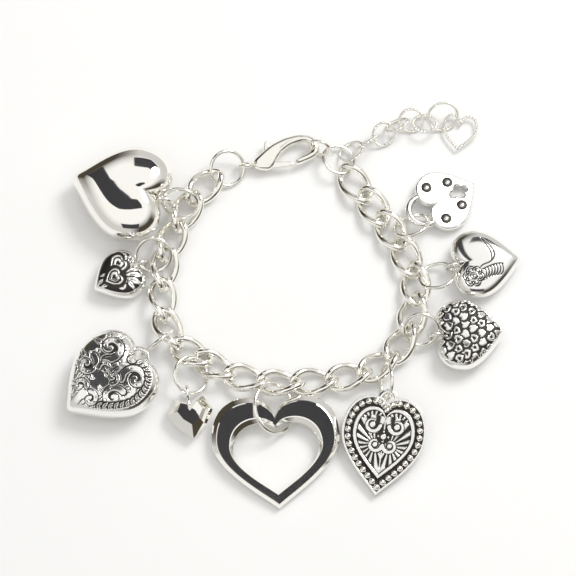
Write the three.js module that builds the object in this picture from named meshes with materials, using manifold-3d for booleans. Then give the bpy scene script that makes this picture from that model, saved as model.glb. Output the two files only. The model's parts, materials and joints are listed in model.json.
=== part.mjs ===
// A silver-plated charm bracelet, lying closed on a table: a curb chain of twenty twisted links,
// a lobster clasp, an extension chain and nine heart charms on jump rings.
// Millimetres, +Z up. The origin is on the table, at the middle of the bracelet's footprint.

import * as THREE from 'three';
import { mergeVertices } from 'three/addons/utils/BufferGeometryUtils.js';
import Module from 'manifold-3d';

const wasm = await Module();
wasm.setup();

// The curb chain. A link is an oval of round wire, twisted about its length so that
// its two ends stand at 45 degrees and neighbours cross at right angles.
const LINK_WIRE = 1.75;
const LINK_HALF_LENGTH = 5.25;
const LINK_HALF_WIDTH = 3.0;
const LINK_END_TWIST = -48;
const LINK_STEPS = 16;
const LINK_SIDES = 6;

// Jump rings and the rings at the clasp.
const RING_WIRE = 0.95;
const RING_STEPS = 16;
const RING_SIDES = 5;
const TOUCH_GAP = 0.2;

// The extension chain.
const EXTENSION_WIRE = 0.8;

const silver = new THREE.MeshStandardMaterial({ color: 0xdcd9d2, roughness: 0.16, metalness: 1 });
const darkened = new THREE.MeshStandardMaterial({ color: 0xa8a49b, roughness: 0.3, metalness: 1 });

const bracelet = new THREE.Group();

const radians = THREE.MathUtils.degToRad;
const vector = (x, y, z) => new THREE.Vector3(x, y, z);

// A closed wire centreline: an oval in the XY plane, twisted evenly about X.
class TwistedOval extends THREE.Curve {
  constructor(halfLength, halfWidth, endTwist) {
    super();
    this.halfLength = halfLength;
    this.halfWidth = halfWidth;
    this.endTwist = radians(endTwist);
  }
  getPoint(u, target = new THREE.Vector3()) {
    const angle = 2 * Math.PI * u;
    const across = this.halfWidth * Math.sin(angle);
    const twist = this.endTwist * Math.cos(angle);
    return target.set(
      this.halfLength * Math.cos(angle),
      across * Math.cos(twist),
      across * Math.sin(twist),
    );
  }
}

function bareGeometry(geometry) {
  const bare = geometry.clone();
  bare.deleteAttribute('normal');
  bare.deleteAttribute('uv');
  return mergeVertices(bare, 1e-4);
}

function closedTube(curve, steps, wire, sides) {
  return bareGeometry(new THREE.TubeGeometry(curve, steps, wire / 2, sides, true));
}

function ringShape(radius, wire, steps = RING_STEPS, sides = RING_SIDES) {
  return closedTube(new TwistedOval(radius, radius, 0), steps, wire, sides);
}

// Solids for joining and cutting.
function solidOf(geometry) {
  const bare = bareGeometry(geometry);
  return new wasm.Manifold(new wasm.Mesh({
    numProp: 3,
    vertProperties: new Float32Array(bare.attributes.position.array),
    triVerts: new Uint32Array(bare.index.array),
  }));
}

function geometryOf(solid) {
  const mesh = solid.getMesh();
  const geometry = new THREE.BufferGeometry();
  geometry.setAttribute('position', new THREE.BufferAttribute(mesh.vertProperties, 3));
  geometry.setIndex(new THREE.BufferAttribute(mesh.triVerts, 1));
  return geometry;
}

function addPiece(name, geometry, position, rotation = new THREE.Euler(), material = silver) {
  const mesh = new THREE.Mesh(geometry, material);
  mesh.name = name;
  mesh.position.copy(position);
  mesh.rotation.copy(rotation);
  mesh.updateMatrixWorld(true);
  bracelet.add(mesh);
  return mesh;
}

// The height at which a turned shape rests on the table.
function restingHeight(geometry, rotation) {
  const turned = geometry.clone().applyMatrix4(new THREE.Matrix4().makeRotationFromEuler(rotation));
  turned.computeBoundingBox();
  return -turned.boundingBox.min.z;
}

// Each link's middle, its heading along the chain and its roll about that heading.
const CHAIN = [
  // x, y, heading, roll
  [-21.0, 28.6, -134, -20],
  [-25.4, 22.7, -118, -25],
  [-28.4, 15.6, -110, -25],
  [-30.0, 8.0, -96, -22],
  [-30.3, 0.1, -84, -25],
  [-28.8, -7.4, -62, -24],
  [-24.2, -13.0, -38, -15],
  [-17.7, -17.0, -27, -12],
  [-10.2, -19.8, -14, -14],
  [-2.2, -20.8, -3, -18],
  [5.8, -20.5, 5, -12],
  [13.9, -19.2, 13, -10],
  [21.0, -16.4, 36, -12],
  [26.4, -10.8, 60, -12],
  [29.3, -3.7, 78, -12],
  [29.9, 3.9, 95, -12],
  [28.0, 11.2, 114, -10],
  [24.2, 17.8, 121, -8],
  [20.5, 23.9, 119, -5],
  [16.0, 29.9, 118, 0],
];

const linkCurve = new TwistedOval(LINK_HALF_LENGTH, LINK_HALF_WIDTH, LINK_END_TWIST);
const linkShape = closedTube(linkCurve, LINK_STEPS, LINK_WIRE, LINK_SIDES);
const links = CHAIN.map(([x, y, heading, roll], i) => {
  const name = `link_${String(i + 1).padStart(2, '0')}`;
  const turn = new THREE.Euler(radians(roll), 0, radians(heading), 'ZYX');
  return addPiece(name, linkShape, vector(x, y, restingHeight(linkShape, turn)), turn);
});

// A heart's outline in the XY plane: the cleft is at the top, the tip points down -Y, and
// the origin is a little below the cleft, so that scaled copies of the outline nest.
function heartOutline(width, length, notch, steps) {
  const top = 0.42 * length;
  const side = top - 0.36 * length;
  const lift = (notch + 0.36 * length) / 6;
  const half = width / 2;
  const shape = new THREE.Shape();
  shape.moveTo(0, top - notch);
  shape.bezierCurveTo(-0.1 * half, top + lift, -half, top + lift, -half, side);
  shape.bezierCurveTo(-half, top - 0.62 * length, -0.3 * half, top - 0.86 * length, 0, top - length);
  shape.bezierCurveTo(0.3 * half, top - 0.86 * length, half, top - 0.62 * length, half, side);
  shape.bezierCurveTo(half, top + lift, 0.1 * half, top + lift, 0, top - notch);
  const points = shape.getPoints(steps);
  points.pop();
  return points;
}

// A solid through copies of one outline: each section is [scale, z], and the first and the
// last have scale 0, the middle of the lower and the upper face.
function loft(outline, sections) {
  const positions = [];
  const faces = [];
  const count = outline.length;
  const starts = sections.map(([scale, z]) => {
    const start = positions.length / 3;
    if (scale === 0) {
      positions.push(0, 0, z);
    } else {
      outline.forEach((p) => positions.push(scale * p.x, scale * p.y, z));
    }
    return start;
  });
  for (let s = 0; s + 1 < sections.length; s += 1) {
    for (let i = 0; i < count; i += 1) {
      const j = (i + 1) % count;
      const low = starts[s];
      const high = starts[s + 1];
      if (sections[s][0] === 0) {
        faces.push(low, high + j, high + i);
      } else if (sections[s + 1][0] === 0) {
        faces.push(low + i, low + j, high);
      } else {
        faces.push(low + i, low + j, high + j);
        faces.push(low + i, high + j, high + i);
      }
    }
  }
  const geometry = new THREE.BufferGeometry();
  geometry.setAttribute('position', new THREE.Float32BufferAttribute(positions, 3));
  geometry.setIndex(faces);
  return geometry;
}

// The round section of a puffed charm: fullness near 1 is a ball, smaller is a flatter face.
function puffSections(thickness, fullness, rows) {
  const sections = [[0, -thickness / 2]];
  for (let r = 1; r < rows; r += 1) {
    const angle = Math.PI * (r / rows - 0.5);
    sections.push([Math.cos(angle) ** fullness, (thickness / 2) * Math.sin(angle)]);
  }
  sections.push([0, thickness / 2]);
  return sections;
}

function puffedHeart(width, length, notch, thickness, fullness) {
  return solidOf(loft(heartOutline(width, length, notch, 6), puffSections(thickness, fullness, 6)));
}

// The open heart: a flat band with its edges bevelled above, cut through by the inner heart.
const OPEN_HEART = {
  outer: { width: 30.5, length: 27, notch: 4.9 },
  inner: { width: 20.9, length: 18.2, notch: 2.8, y: -1.4 },
  half: 1.2, // half the band's thickness
  bevelFoot: 0.2, // the outer bevel starts at this height
  bevelTop: 0.9, // and has drawn in to this scale at the top
};
function openHeart() {
  const { outer, inner, half, bevelFoot, bevelTop } = OPEN_HEART;
  const band = solidOf(loft(
    heartOutline(outer.width, outer.length, outer.notch, 7),
    [[0, -half], [1, -half], [1, bevelFoot], [bevelTop, half], [0, half]],
  ));
  const hole = loft(
    heartOutline(inner.width, inner.length, inner.notch, 7),
    [[0, -2], [1, -2], [1, 0.3], [1.12, 2], [0, 2]],
  );
  return band.subtract(solidOf(hole.translate(0, inner.y, 0)));
}

// A bail ring cast on a charm's cleft. Its hole runs through the charm's thickness,
// or across its width.
function bail(radius, wire, y, across, stem) {
  const ring = ringShape(radius, wire, 10, 5);
  if (across) ring.rotateY(Math.PI / 2);
  const foot = new THREE.BoxGeometry(wire, stem, wire).translate(0, -radius - stem / 2, 0);
  return solidOf(ring).add(solidOf(foot)).translate([0, y, 0]);
}

const post = (radius, length, sides = 12) => (
  solidOf(new THREE.CylinderGeometry(radius, radius, length, sides).rotateX(Math.PI / 2))
);

// The padlock: a flat heart plate with a shackle, four ringed rivets and a keyhole.
const PADLOCK = { width: 15.5, length: 14, notch: 1.6 };
const SHACKLE = { radius: 3.7, wire: 1.7, y: 6.2 };
const RIVETS = [[-4.6, 2.8], [4.6, 2.8], [-3.4, -2.4], [3.4, -2.4]];
const RIVET = { radius: 1.35, groove: 0.95, button: 0.6, top: 1.15, floor: 0.6 };
const KEYHOLE = { radius: 0.85, y: -2.9, slotWidth: 0.9, slotLength: 2, slotY: -4.1 };
function padlockCharm() {
  let body = solidOf(loft(
    heartOutline(PADLOCK.width, PADLOCK.length, PADLOCK.notch, 6),
    [[0, -1], [0.96, -1], [1, -0.6], [1, 0.5], [0.94, 0.9], [0, 0.9]],
  ));
  const shackle = ringShape(SHACKLE.radius, SHACKLE.wire, 14, 5).translate(0, SHACKLE.y, 0);
  body = body.add(solidOf(shackle));
  for (const [x, y] of RIVETS) {
    const rim = post(RIVET.radius, 2 * RIVET.top).subtract(post(RIVET.groove, 3));
    const button = post(RIVET.button, RIVET.top + 0.2);
    body = body.subtract(post(RIVET.radius - 0.1, 2).translate([x, y, 1 + RIVET.floor]))
      .add(rim.trimByPlane([0, 0, 1], 0).translate([x, y, 0]))
      .add(button.translate([x, y, RIVET.top / 2 - 0.1]));
  }
  const slot = new THREE.BoxGeometry(KEYHOLE.slotWidth, KEYHOLE.slotLength, 4)
    .translate(0, KEYHOLE.slotY, 0);
  const keyhole = post(KEYHOLE.radius, 4).translate([0, KEYHOLE.y, 0]).add(solidOf(slot));
  return body.subtract(keyhole);
}

// The beaded heart: a flat plate with a rim of beads, a raised inner heart, and a pierced tab
// in its cleft for the jump ring.
const BEADED_PLATE = { width: 20, length: 23.5, notch: 1.8 };
const BEADED_INNER = { width: 11.8, length: 14, notch: 2.2 };
const BEADS = { count: 34, radius: 0.72, z: 1.05, width: 17.2, length: 20.4, notch: 1.4 };
const TAB = { radius: 2.6, hole: 1.5, thickness: 1.6, y: 9.5 };
function beadedHeart() {
  let body = solidOf(loft(
    heartOutline(BEADED_PLATE.width, BEADED_PLATE.length, BEADED_PLATE.notch, 6),
    [[0, -1], [0.97, -1], [1, -0.7], [1, 0.7], [0.96, 1], [0.94, 0.8], [0, 0.8]],
  ));
  const innerHeart = loft(
    heartOutline(BEADED_INNER.width, BEADED_INNER.length, BEADED_INNER.notch, 5),
    [[0, 0], [1.06, 0], [1.04, 1.3], [0.92, 1.45], [0.86, 1.15], [0, 1.6]],
  );
  body = body.add(solidOf(innerHeart));
  const row = new THREE.Path(heartOutline(BEADS.width, BEADS.length, BEADS.notch, 12));
  const path = row.getSpacedPoints(BEADS.count);
  for (const spot of path.slice(1)) {
    const bead = new THREE.IcosahedronGeometry(BEADS.radius, 0).translate(spot.x, spot.y, BEADS.z);
    body = body.add(solidOf(bead));
  }
  return body.add(post(TAB.radius, TAB.thickness).translate([0, TAB.y, 0]))
    .subtract(post(TAB.hole, 6).translate([0, TAB.y, 0]));
}

// The small heart with flat facets that meet in a point.
function facetedHeart() {
  return solidOf(loft(
    heartOutline(11, 10.5, 1.6, 2),
    [[0, -2.8], [0.55, -2.4], [1, -0.2], [1, 0.2], [0.55, 2.4], [0, 2.8]],
  ));
}

const charmShapes = {
  plain_heart: puffedHeart(24, 24, 3.9, 11, 0.6).add(bail(1.85, 0.9, 9.8, true, 3.4)),
  little_hearts: puffedHeart(12.5, 12.5, 2.2, 5.6, 0.5).add(bail(1.7, 0.9, 5.6, true, 2.0)),
  scroll_heart: puffedHeart(22, 23, 3.4, 9, 0.45).add(bail(2.2, 1.1, 8.3, false, 3.0)),
  faceted_heart: facetedHeart().add(bail(1.65, 0.9, 5.2, true, 2.0)),
  open_heart: openHeart(),
  beaded_heart: beadedHeart(),
  many_hearts: puffedHeart(17.6, 16.6, 2.4, 7, 0.5).add(bail(1.8, 0.9, 7.2, true, 3.0)),
  rose_heart: puffedHeart(17, 16.6, 2.4, 6, 0.5).add(bail(1.8, 0.9, 7.2, true, 3.0)),
  padlock: padlockCharm(),
};

// The pose of a round ring that holds two wires at once, at points from and to. The ring's
// plane holds both points, and its lean turns it about the line between them: its middle is
// above that line at 0, to the right of it at 90 and to the left of it at -90.
function holdingRing({ from, to, radius, lean, wires, wire = RING_WIRE, gap = TOUCH_GAP }) {
  const [nearArm, farArm] = wires.map((held) => radius - (held + wire) / 2 - gap);
  const along = to.clone().sub(from).normalize();
  const length = to.distanceTo(from);
  const right = along.clone().cross(vector(0, 0, 1)).normalize();
  const up = right.clone().cross(along);
  const across = right.clone().multiplyScalar(Math.sin(radians(lean)))
    .addScaledVector(up, Math.cos(radians(lean)));
  const part = Math.min(nearArm, (nearArm ** 2 - farArm ** 2 + length ** 2) / (2 * length));
  const middle = from.clone().addScaledVector(along, part)
    .addScaledVector(across, Math.sqrt(nearArm ** 2 - part ** 2));
  return { middle, normal: along.clone().cross(across) };
}

function addRing(name, middle, normal, radius, wire = RING_WIRE) {
  const turn = new THREE.Quaternion().setFromUnitVectors(vector(0, 0, 1), normal);
  const euler = new THREE.Euler().setFromQuaternion(turn);
  return addPiece(name, ringShape(radius, wire), middle, euler);
}

const pointOnLink = (number, angle) => (
  links[number - 1].localToWorld(linkCurve.getPoint(((angle + 360) % 360) / 360))
);

// Each charm lies on the table and hangs by its jump ring, which goes round a link's wire at an
// angle on the link, and through the charm's bail. x and y are the place of the bail's outer
// wire; the heading runs from the charm's tip to its bail, and pitch raises the bail.
const CHARMS = {
  plain_heart: {
    x: -29.0, y: 23.9, heading: -16, pitch: 3, held: { y: 11.65, wire: 0.9 },
    link: 2, angle: 282, radius: 4.2, lean: 45,
  },
  little_hearts: {
    x: -34.2, y: 9.4, heading: 27, pitch: 0, held: { y: 7.3, wire: 0.9 },
    link: 3, angle: 330, radius: 4.1, lean: 60, gap: 0.5,
  },
  scroll_heart: {
    x: -34.3, y: -14.2, heading: 37, pitch: 6, held: { y: 10.5, wire: 1.1 },
    link: 6, angle: 290, radius: 4.6, lean: -15,
  },
  faceted_heart: {
    x: -24.4, y: -22.2, heading: 98, pitch: 0, held: { y: 6.85, wire: 0.9 },
    link: 8, angle: 240, radius: 4.4, lean: 60,
  },
  open_heart: {
    x: -3.5, y: -31.4, heading: 93, pitch: 6, held: { y: 4.9, wire: 2.9 },
    link: 10, angle: 270, radius: 5.9, lean: 50,
  },
  beaded_heart: {
    x: 23.3, y: -24.2, heading: 82, pitch: 9, held: { y: 11.5, wire: 1.1 },
    link: 13, angle: 264, radius: 4.3, lean: -15,
  },
  many_hearts: {
    x: 32.9, y: -9.7, heading: 184, pitch: 0, held: { y: 9.0, wire: 0.9 },
    link: 14, angle: 305, radius: 4.1, lean: -45, gap: 0.5,
  },
  rose_heart: {
    x: 37.1, y: 8.1, heading: 187, pitch: 0, held: { y: 9.0, wire: 0.9 },
    link: 16, angle: 280, radius: 4.4, lean: 45,
  },
  padlock: {
    x: 30.5, y: 20.8, heading: 213, pitch: 6, held: { y: 9.9, wire: 1.7 },
    link: 18, angle: 268, radius: 4.3, lean: 50,
  },
};

Object.entries(CHARMS).forEach(([name, hang]) => {
  const turn = new THREE.Euler(radians(hang.pitch), 0, radians(hang.heading - 90), 'ZXY');
  const shape = geometryOf(charmShapes[name]);
  const heldPoint = vector(0, hang.held.y, 0).applyEuler(turn);
  const to = vector(hang.x, hang.y, restingHeight(shape, turn) + heldPoint.z);
  addPiece(`charm_${name}`, shape, to.clone().sub(heldPoint), turn, darkened);
  const from = pointOnLink(hang.link, hang.angle);
  const ring = holdingRing({ ...hang, from, to, wires: [LINK_WIRE, hang.held.wire] });
  addRing(`ring_${name}`, ring.middle, ring.normal, hang.radius);
});

// The lobster clasp, in its own frame: the eye's middle at the origin, the claw towards +X.
const CLASP = { x: -10.2, y: 35.0, heading: 4, rise: 2, lift: 0.2, thickness: 2.3 };
const EYE = { x: -0.6, radius: 1.6, wire: 0.95, tilt: -60 };
const CLAW = [
  [1.3, -0.8], [3.0, -1.7], [5.2, -1.9], [6.4, -0.6], [7.4, 1.2], [8.8, 2.9], [11.0, 4.3],
  [13.7, 4.9], [15.3, 4.4], [15.9, 3.0], [15.0, 1.8], [11.4, 0.3], [11.6, -1.2], [15.4, 0.1],
  [17.2, 1.2], [17.8, 3.0], [17.2, 5.0], [15.6, 6.3], [13.0, 6.8], [9.6, 6.2], [6.2, 4.8],
  [3.4, 2.7], [1.3, 0.9],
];
const LEVER = [
  [3.9, -1.1], [4.9, -1.5], [10.9, -1.3], [11.0, -0.1], [6.6, 0.1], [5.7, 1.1],
  [5.6, 4.2], [5.2, 5.7], [4.4, 5.5], [4.2, 3.8], [3.7, 0.6],
];
const LEVER_THICKNESS = 1.0;
const LEVER_SLOT = { from: 2.1, to: 7.45, thickness: 1.55 };
const PIVOT = { x: 4.7, y: -0.2, pin: 0.5, hole: 0.78 };

function outlineShape(points) {
  return new THREE.Shape(points.map(([x, y]) => new THREE.Vector2(x, y)));
}

function slab(points, thickness, bevel) {
  const geometry = new THREE.ExtrudeGeometry(outlineShape(points), {
    depth: thickness - 2 * bevel,
    bevelEnabled: bevel > 0,
    bevelThickness: bevel,
    bevelSize: bevel,
    bevelOffset: -bevel,
    bevelSegments: 1,
  });
  geometry.translate(0, 0, bevel - thickness / 2);
  return solidOf(geometry);
}

function pivotRod(radius, length) {
  const rod = new THREE.CylinderGeometry(radius, radius, length, 12);
  rod.rotateX(Math.PI / 2);
  rod.translate(PIVOT.x, PIVOT.y, 0);
  return solidOf(rod);
}

function claspBody() {
  const eyeRing = ringShape(EYE.radius, EYE.wire, 12, 5).rotateX(radians(EYE.tilt));
  const eye = solidOf(eyeRing.translate(EYE.x, 0, 0));
  const slot = new THREE.BoxGeometry(LEVER_SLOT.to - LEVER_SLOT.from, 9, LEVER_SLOT.thickness)
    .translate((LEVER_SLOT.from + LEVER_SLOT.to) / 2, 1.5, 0);
  return slab(CLAW, CLASP.thickness, 0.4)
    .add(eye)
    .subtract(solidOf(slot))
    .add(pivotRod(PIVOT.pin, CLASP.thickness - 0.2));
}

function claspLever() {
  return slab(LEVER, LEVER_THICKNESS, 0.2).subtract(pivotRod(PIVOT.hole, CLASP.thickness));
}

// The clasp hangs between two rings, which hold it a little above the table.
const claspBodyShape = geometryOf(claspBody());
const claspTurn = new THREE.Euler(0, radians(-CLASP.rise), radians(CLASP.heading), 'ZYX');
const claspHeight = restingHeight(claspBodyShape, claspTurn) + CLASP.lift;
const claspPlace = vector(CLASP.x, CLASP.y, claspHeight);
const clasp = addPiece('clasp_body', claspBodyShape, claspPlace, claspTurn);
addPiece('clasp_lever', geometryOf(claspLever()), claspPlace, claspTurn);

const START_RING = { radius: 4.2, lean: -60 };
const startRing = holdingRing({
  ...START_RING,
  from: pointOnLink(1, 176),
  to: clasp.localToWorld(vector(EYE.x - EYE.radius, 0, 0)),
  wires: [LINK_WIRE, EYE.wire],
});
addRing('clasp_end_ring', startRing.middle, startRing.normal, START_RING.radius);

// A ring lying across a path: its heading is the path's, and it leans from upright (0)
// towards flat (90). It rests on the table unless it is lifted.
function pathRingPose([x, y, heading, radius, lean, lift], wire) {
  const turn = radians(heading);
  const flat = radians(lean);
  const normal = vector(
    -Math.sin(turn) * Math.cos(flat), Math.cos(turn) * Math.cos(flat), Math.sin(flat),
  );
  const z = radius * Math.abs(Math.cos(flat)) + wire / 2 + lift;
  return { middle: vector(x, y, z), normal, radius };
}

// The point of a ring's wire that lies farthest in a plan direction.
function ringPoint({ middle, normal, radius }, heading) {
  const way = vector(Math.cos(radians(heading)), Math.sin(radians(heading)), 0);
  way.addScaledVector(normal, -way.dot(normal)).normalize();
  return middle.clone().addScaledVector(way, radius);
}

// The end ring joins the last link, the extension chain and the small ring that the claw holds.
const endRing = pathRingPose([11.3, 35.6, -48, 3.9, 60, 0.2], RING_WIRE);
addRing('end_ring', endRing.middle, endRing.normal, endRing.radius);
const CLAW_BEND = { x: 16.85, y: 2.9, wire: 1.9 };
const CATCH_RING = { radius: 2.75, wire: 0.85, lean: -45 };
const catchRing = holdingRing({
  ...CATCH_RING,
  from: clasp.localToWorld(vector(CLAW_BEND.x, CLAW_BEND.y, 0)),
  to: ringPoint(endRing, 132),
  wires: [CLAW_BEND.wire, RING_WIRE],
});
addRing('catch_ring', catchRing.middle, catchRing.normal, CATCH_RING.radius, CATCH_RING.wire);

// The extension chain: thin rings, each crossing the next, up to a bent wire heart.
const EXTENSION = [
  // x, y, heading, radius, lean, lift
  [19.4, 40.6, 32, 2.9, 20, 0],
  [22.6, 42.8, 35, 2.9, -45, 0],
  [26.0, 45.2, 30, 2.9, 40, 0],
  [29.3, 46.5, 10, 2.9, -50, 0],
  [32.8, 45.8, 0, 2.9, 68, 0],
  [37.4, 47.2, 20, 3.7, -45, 0],
];
const extensionPoses = EXTENSION.map((row) => pathRingPose(row, EXTENSION_WIRE));
const FIRST_RING = { radius: 3.1, lean: 60 };
const firstRing = holdingRing({
  ...FIRST_RING,
  from: ringPoint(endRing, 35),
  to: ringPoint(extensionPoses[0], 210),
  wires: [RING_WIRE, EXTENSION_WIRE],
  wire: EXTENSION_WIRE,
});
[{ ...firstRing, radius: FIRST_RING.radius }, ...extensionPoses].forEach((pose, i) => {
  addRing(`ext_ring_${i + 1}`, pose.middle, pose.normal, pose.radius, EXTENSION_WIRE);
});

const WIRE_HEART = { x: 41.2, y: 44.4, z: 1.4, heading: 82, width: 8, length: 8.6, notch: 2.2 };
function wireHeart() {
  const outline = heartOutline(WIRE_HEART.width, WIRE_HEART.length, WIRE_HEART.notch, 5);
  const path = new THREE.CatmullRomCurve3(outline.map((p) => vector(p.x, p.y, 0)), true);
  return closedTube(path, 24, EXTENSION_WIRE, RING_SIDES);
}
addPiece(
  'ext_heart', wireHeart(), vector(WIRE_HEART.x, WIRE_HEART.y, WIRE_HEART.z),
  new THREE.Euler(0, 0, radians(WIRE_HEART.heading - 90)),
);

// The poses above are good to a fraction of a millimetre. This finds each piece its room: it
// moves and turns a piece by small steps for as long as the narrowest gap round it widens.
const WANTED_GAP = 0.18;
const SEARCH_STEPS = [
  { move: 0.12, turn: radians(2.5) },
  { move: 0.05, turn: radians(1) },
  { move: 0.02, turn: radians(0.4) },
];
const MOST_STEPS = 40;

const solidAt = (mesh) => solidOf(mesh.geometry).transform(mesh.matrixWorld.elements);

function roomRound(solid, others) {
  const sunk = Math.max(0, -solid.boundingBox().min[2]);
  const gap = Math.min(WANTED_GAP, ...others.map((other) => solid.minGap(other, WANTED_GAP)));
  const shared = gap > 0 ? 0 : others.reduce((sum, other) => sum + solid.intersect(other).volume(), 0);
  return gap - shared - 3 * sunk;
}

// A charm stays on the table: it only slides and turns in plan.
function smallMoves({ move, turn }, onTable) {
  const moves = [];
  for (const [x, y, z] of [[1, 0, 0], [0, 1, 0], [0.7, 0.7, 0], [0.7, -0.7, 0], [0, 0, 1]]) {
    for (const sign of [-1, 1]) {
      const axis = vector(x, y, z);
      const spin = new THREE.Quaternion().setFromAxisAngle(axis, sign * turn);
      if (!(onTable && z > 0)) {
        const shift = axis.clone().multiplyScalar(sign * move);
        moves.push({ shift, spin: new THREE.Quaternion() });
      }
      if (!(onTable && z === 0)) moves.push({ shift: vector(0, 0, 0), spin });
    }
  }
  return moves;
}

function findRoom(mesh) {
  const base = solidOf(mesh.geometry);
  const reach = new THREE.Box3().setFromObject(mesh).expandByScalar(2);
  const others = bracelet.children
    .filter((other) => other !== mesh && reach.intersectsBox(new THREE.Box3().setFromObject(other)))
    .map(solidAt);
  const pose = { position: mesh.position.clone(), turn: mesh.quaternion.clone() };
  const one = vector(1, 1, 1);
  const at = ({ position, turn }) => (
    base.transform(new THREE.Matrix4().compose(position, turn, one).elements)
  );
  let room = roomRound(at(pose), others);
  for (const steps of SEARCH_STEPS) {
    const moves = smallMoves(steps, mesh.name.startsWith('charm'));
    for (let count = 0; count < MOST_STEPS && room < WANTED_GAP; count += 1) {
      let best = null;
      for (const { shift, spin } of moves) {
        const next = {
          position: pose.position.clone().add(shift),
          turn: spin.clone().multiply(pose.turn),
        };
        const nextRoom = roomRound(at(next), others);
        if (nextRoom > room + 1e-4 && (!best || nextRoom > best.room)) {
          best = { ...next, room: nextRoom };
        }
      }
      if (!best) break;
      Object.assign(pose, { position: best.position, turn: best.turn });
      room = best.room;
    }
  }
  mesh.position.copy(pose.position);
  mesh.quaternion.copy(pose.turn);
  mesh.updateMatrixWorld(true);
}

const movable = bracelet.children.filter((piece) => !/^clasp_(body|lever)|^ext_heart/.test(piece.name));
for (let round = 0; round < 3; round += 1) movable.forEach(findRoom);

// The group's origin goes to the middle of the footprint.
const MIDDLE = vector(1.25, -0.9, 0);
bracelet.children.forEach((piece) => piece.position.sub(MIDDLE));
bracelet.updateMatrixWorld(true);

export default bracelet;
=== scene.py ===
# %% [markdown]
# # A silver-plated charm bracelet
#
# The real bracelet is a curb chain of twisted oval links, closed with a lobster clasp and an
# extension chain, with nine heart charms hung on jump rings. The engineering model gives every
# piece its place and its size. This lesson dresses that model: smooth wire, cast relief, dark
# patina in the hollows, and a plain studio.

# %% Load the frame
import json
import math

import bpy
import numpy as np
from mathutils import Matrix, Vector


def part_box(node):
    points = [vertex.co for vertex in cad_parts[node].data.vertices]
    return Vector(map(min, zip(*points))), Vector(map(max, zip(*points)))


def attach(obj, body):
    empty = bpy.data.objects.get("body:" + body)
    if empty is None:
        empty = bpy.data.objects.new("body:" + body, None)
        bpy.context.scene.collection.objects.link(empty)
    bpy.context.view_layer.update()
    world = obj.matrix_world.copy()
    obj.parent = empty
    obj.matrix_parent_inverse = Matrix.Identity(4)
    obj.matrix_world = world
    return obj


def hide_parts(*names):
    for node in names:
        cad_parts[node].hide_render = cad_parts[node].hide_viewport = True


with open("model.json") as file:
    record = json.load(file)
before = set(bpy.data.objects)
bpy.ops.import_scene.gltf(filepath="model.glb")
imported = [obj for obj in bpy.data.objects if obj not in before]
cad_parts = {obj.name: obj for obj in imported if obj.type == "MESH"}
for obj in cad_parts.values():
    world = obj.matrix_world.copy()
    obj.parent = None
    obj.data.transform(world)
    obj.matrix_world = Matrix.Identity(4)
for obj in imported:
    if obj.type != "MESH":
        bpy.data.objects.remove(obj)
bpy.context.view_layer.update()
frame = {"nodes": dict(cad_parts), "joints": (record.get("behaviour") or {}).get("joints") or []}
print("nodes:", len(frame["nodes"]))

# %% [markdown]
# ## The camera
#
# The photograph looks down steeply from in front, with a long lens, so that near and far pieces
# are drawn almost at one scale. The camera comes first, because every later choice is judged
# through it.

# %% The camera
MM = 0.001
LOOK_AT = Vector((-1.73, 4.99, 0)) * MM
VIEW_WIDTH = 138.2 * MM
ELEVATION = math.radians(70)
LENS = 300

camera_data = bpy.data.cameras.new("camera")
camera_data.lens = LENS
camera = bpy.data.objects.new("camera", camera_data)
bpy.context.scene.collection.objects.link(camera)
back = Vector((0, -math.cos(ELEVATION), math.sin(ELEVATION)))
distance = VIEW_WIDTH * LENS / camera_data.sensor_width
camera.location = LOOK_AT + back * distance
camera.rotation_euler = (math.pi / 2 - ELEVATION, 0, 0)
camera_data.clip_end = 10 * distance
bpy.context.scene.camera = camera
print("camera distance in mm:", round(distance / MM))

# %% [markdown]
# ## Finding each piece's own frame
#
# The frame holds each piece as a mesh already in its place. To lay a finer piece over it, we
# need the piece's own axes. A link or a ring is the same along its wire, so the spread of its
# points gives them: the axis with the least spread is a ring's normal, and the axis with the
# most is a link's length.

# %% Own axes of a wire piece
def node_points(name):
    """The corners of a node's mesh, in millimetres."""
    mesh = frame["nodes"][name].data
    points = np.empty(len(mesh.vertices) * 3)
    mesh.vertices.foreach_get("co", points)
    return points.reshape(-1, 3) / MM


def right_handed(long, across):
    return np.column_stack([long, across, np.cross(long, across)])


def wire_axes(name):
    """The middle of a closed wire, and its axes as columns: longest, next and least."""
    points = node_points(name)
    middle = points.mean(axis=0)
    spread, axes = np.linalg.eigh(np.cov((points - middle).T))
    return middle, right_handed(axes[:, 2], axes[:, 1])


link_names = sorted(name for name in frame["nodes"] if name.startswith("link_"))
link_poses = [wire_axes(name) for name in link_names]
for name, (middle, axes) in list(zip(link_names, link_poses))[:3]:
    print(name, "middle", middle.round(2), "length runs along", axes[:, 0].round(2))

# %% [markdown]
# ## Small helpers for Geometry Nodes
#
# Links, rings, twisted wire and beads all repeat, so Geometry Nodes make them: one small tree
# describes one piece, and it is laid on marked points. Three helpers keep the trees short: one
# starts a tree with named inputs, one adds a node, and one runs a tree and keeps its result as
# a plain mesh.

# %% Tree helpers
def new_tree(name, inputs):
    """A geometry tree with named inputs, its input node and a function that adds a node."""
    tree = bpy.data.node_groups.new(name, "GeometryNodeTree")
    tree.interface.new_socket("Geometry", in_out="INPUT", socket_type="NodeSocketGeometry")
    for label, kind in inputs.items():
        tree.interface.new_socket(label, in_out="INPUT", socket_type=kind)
    tree.interface.new_socket("Geometry", in_out="OUTPUT", socket_type="NodeSocketGeometry")
    given = tree.nodes.new("NodeGroupInput")
    return tree, given.outputs, lambda kind, sockets={}, **settings: add_node(
        tree, kind, sockets, **settings
    )


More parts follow.
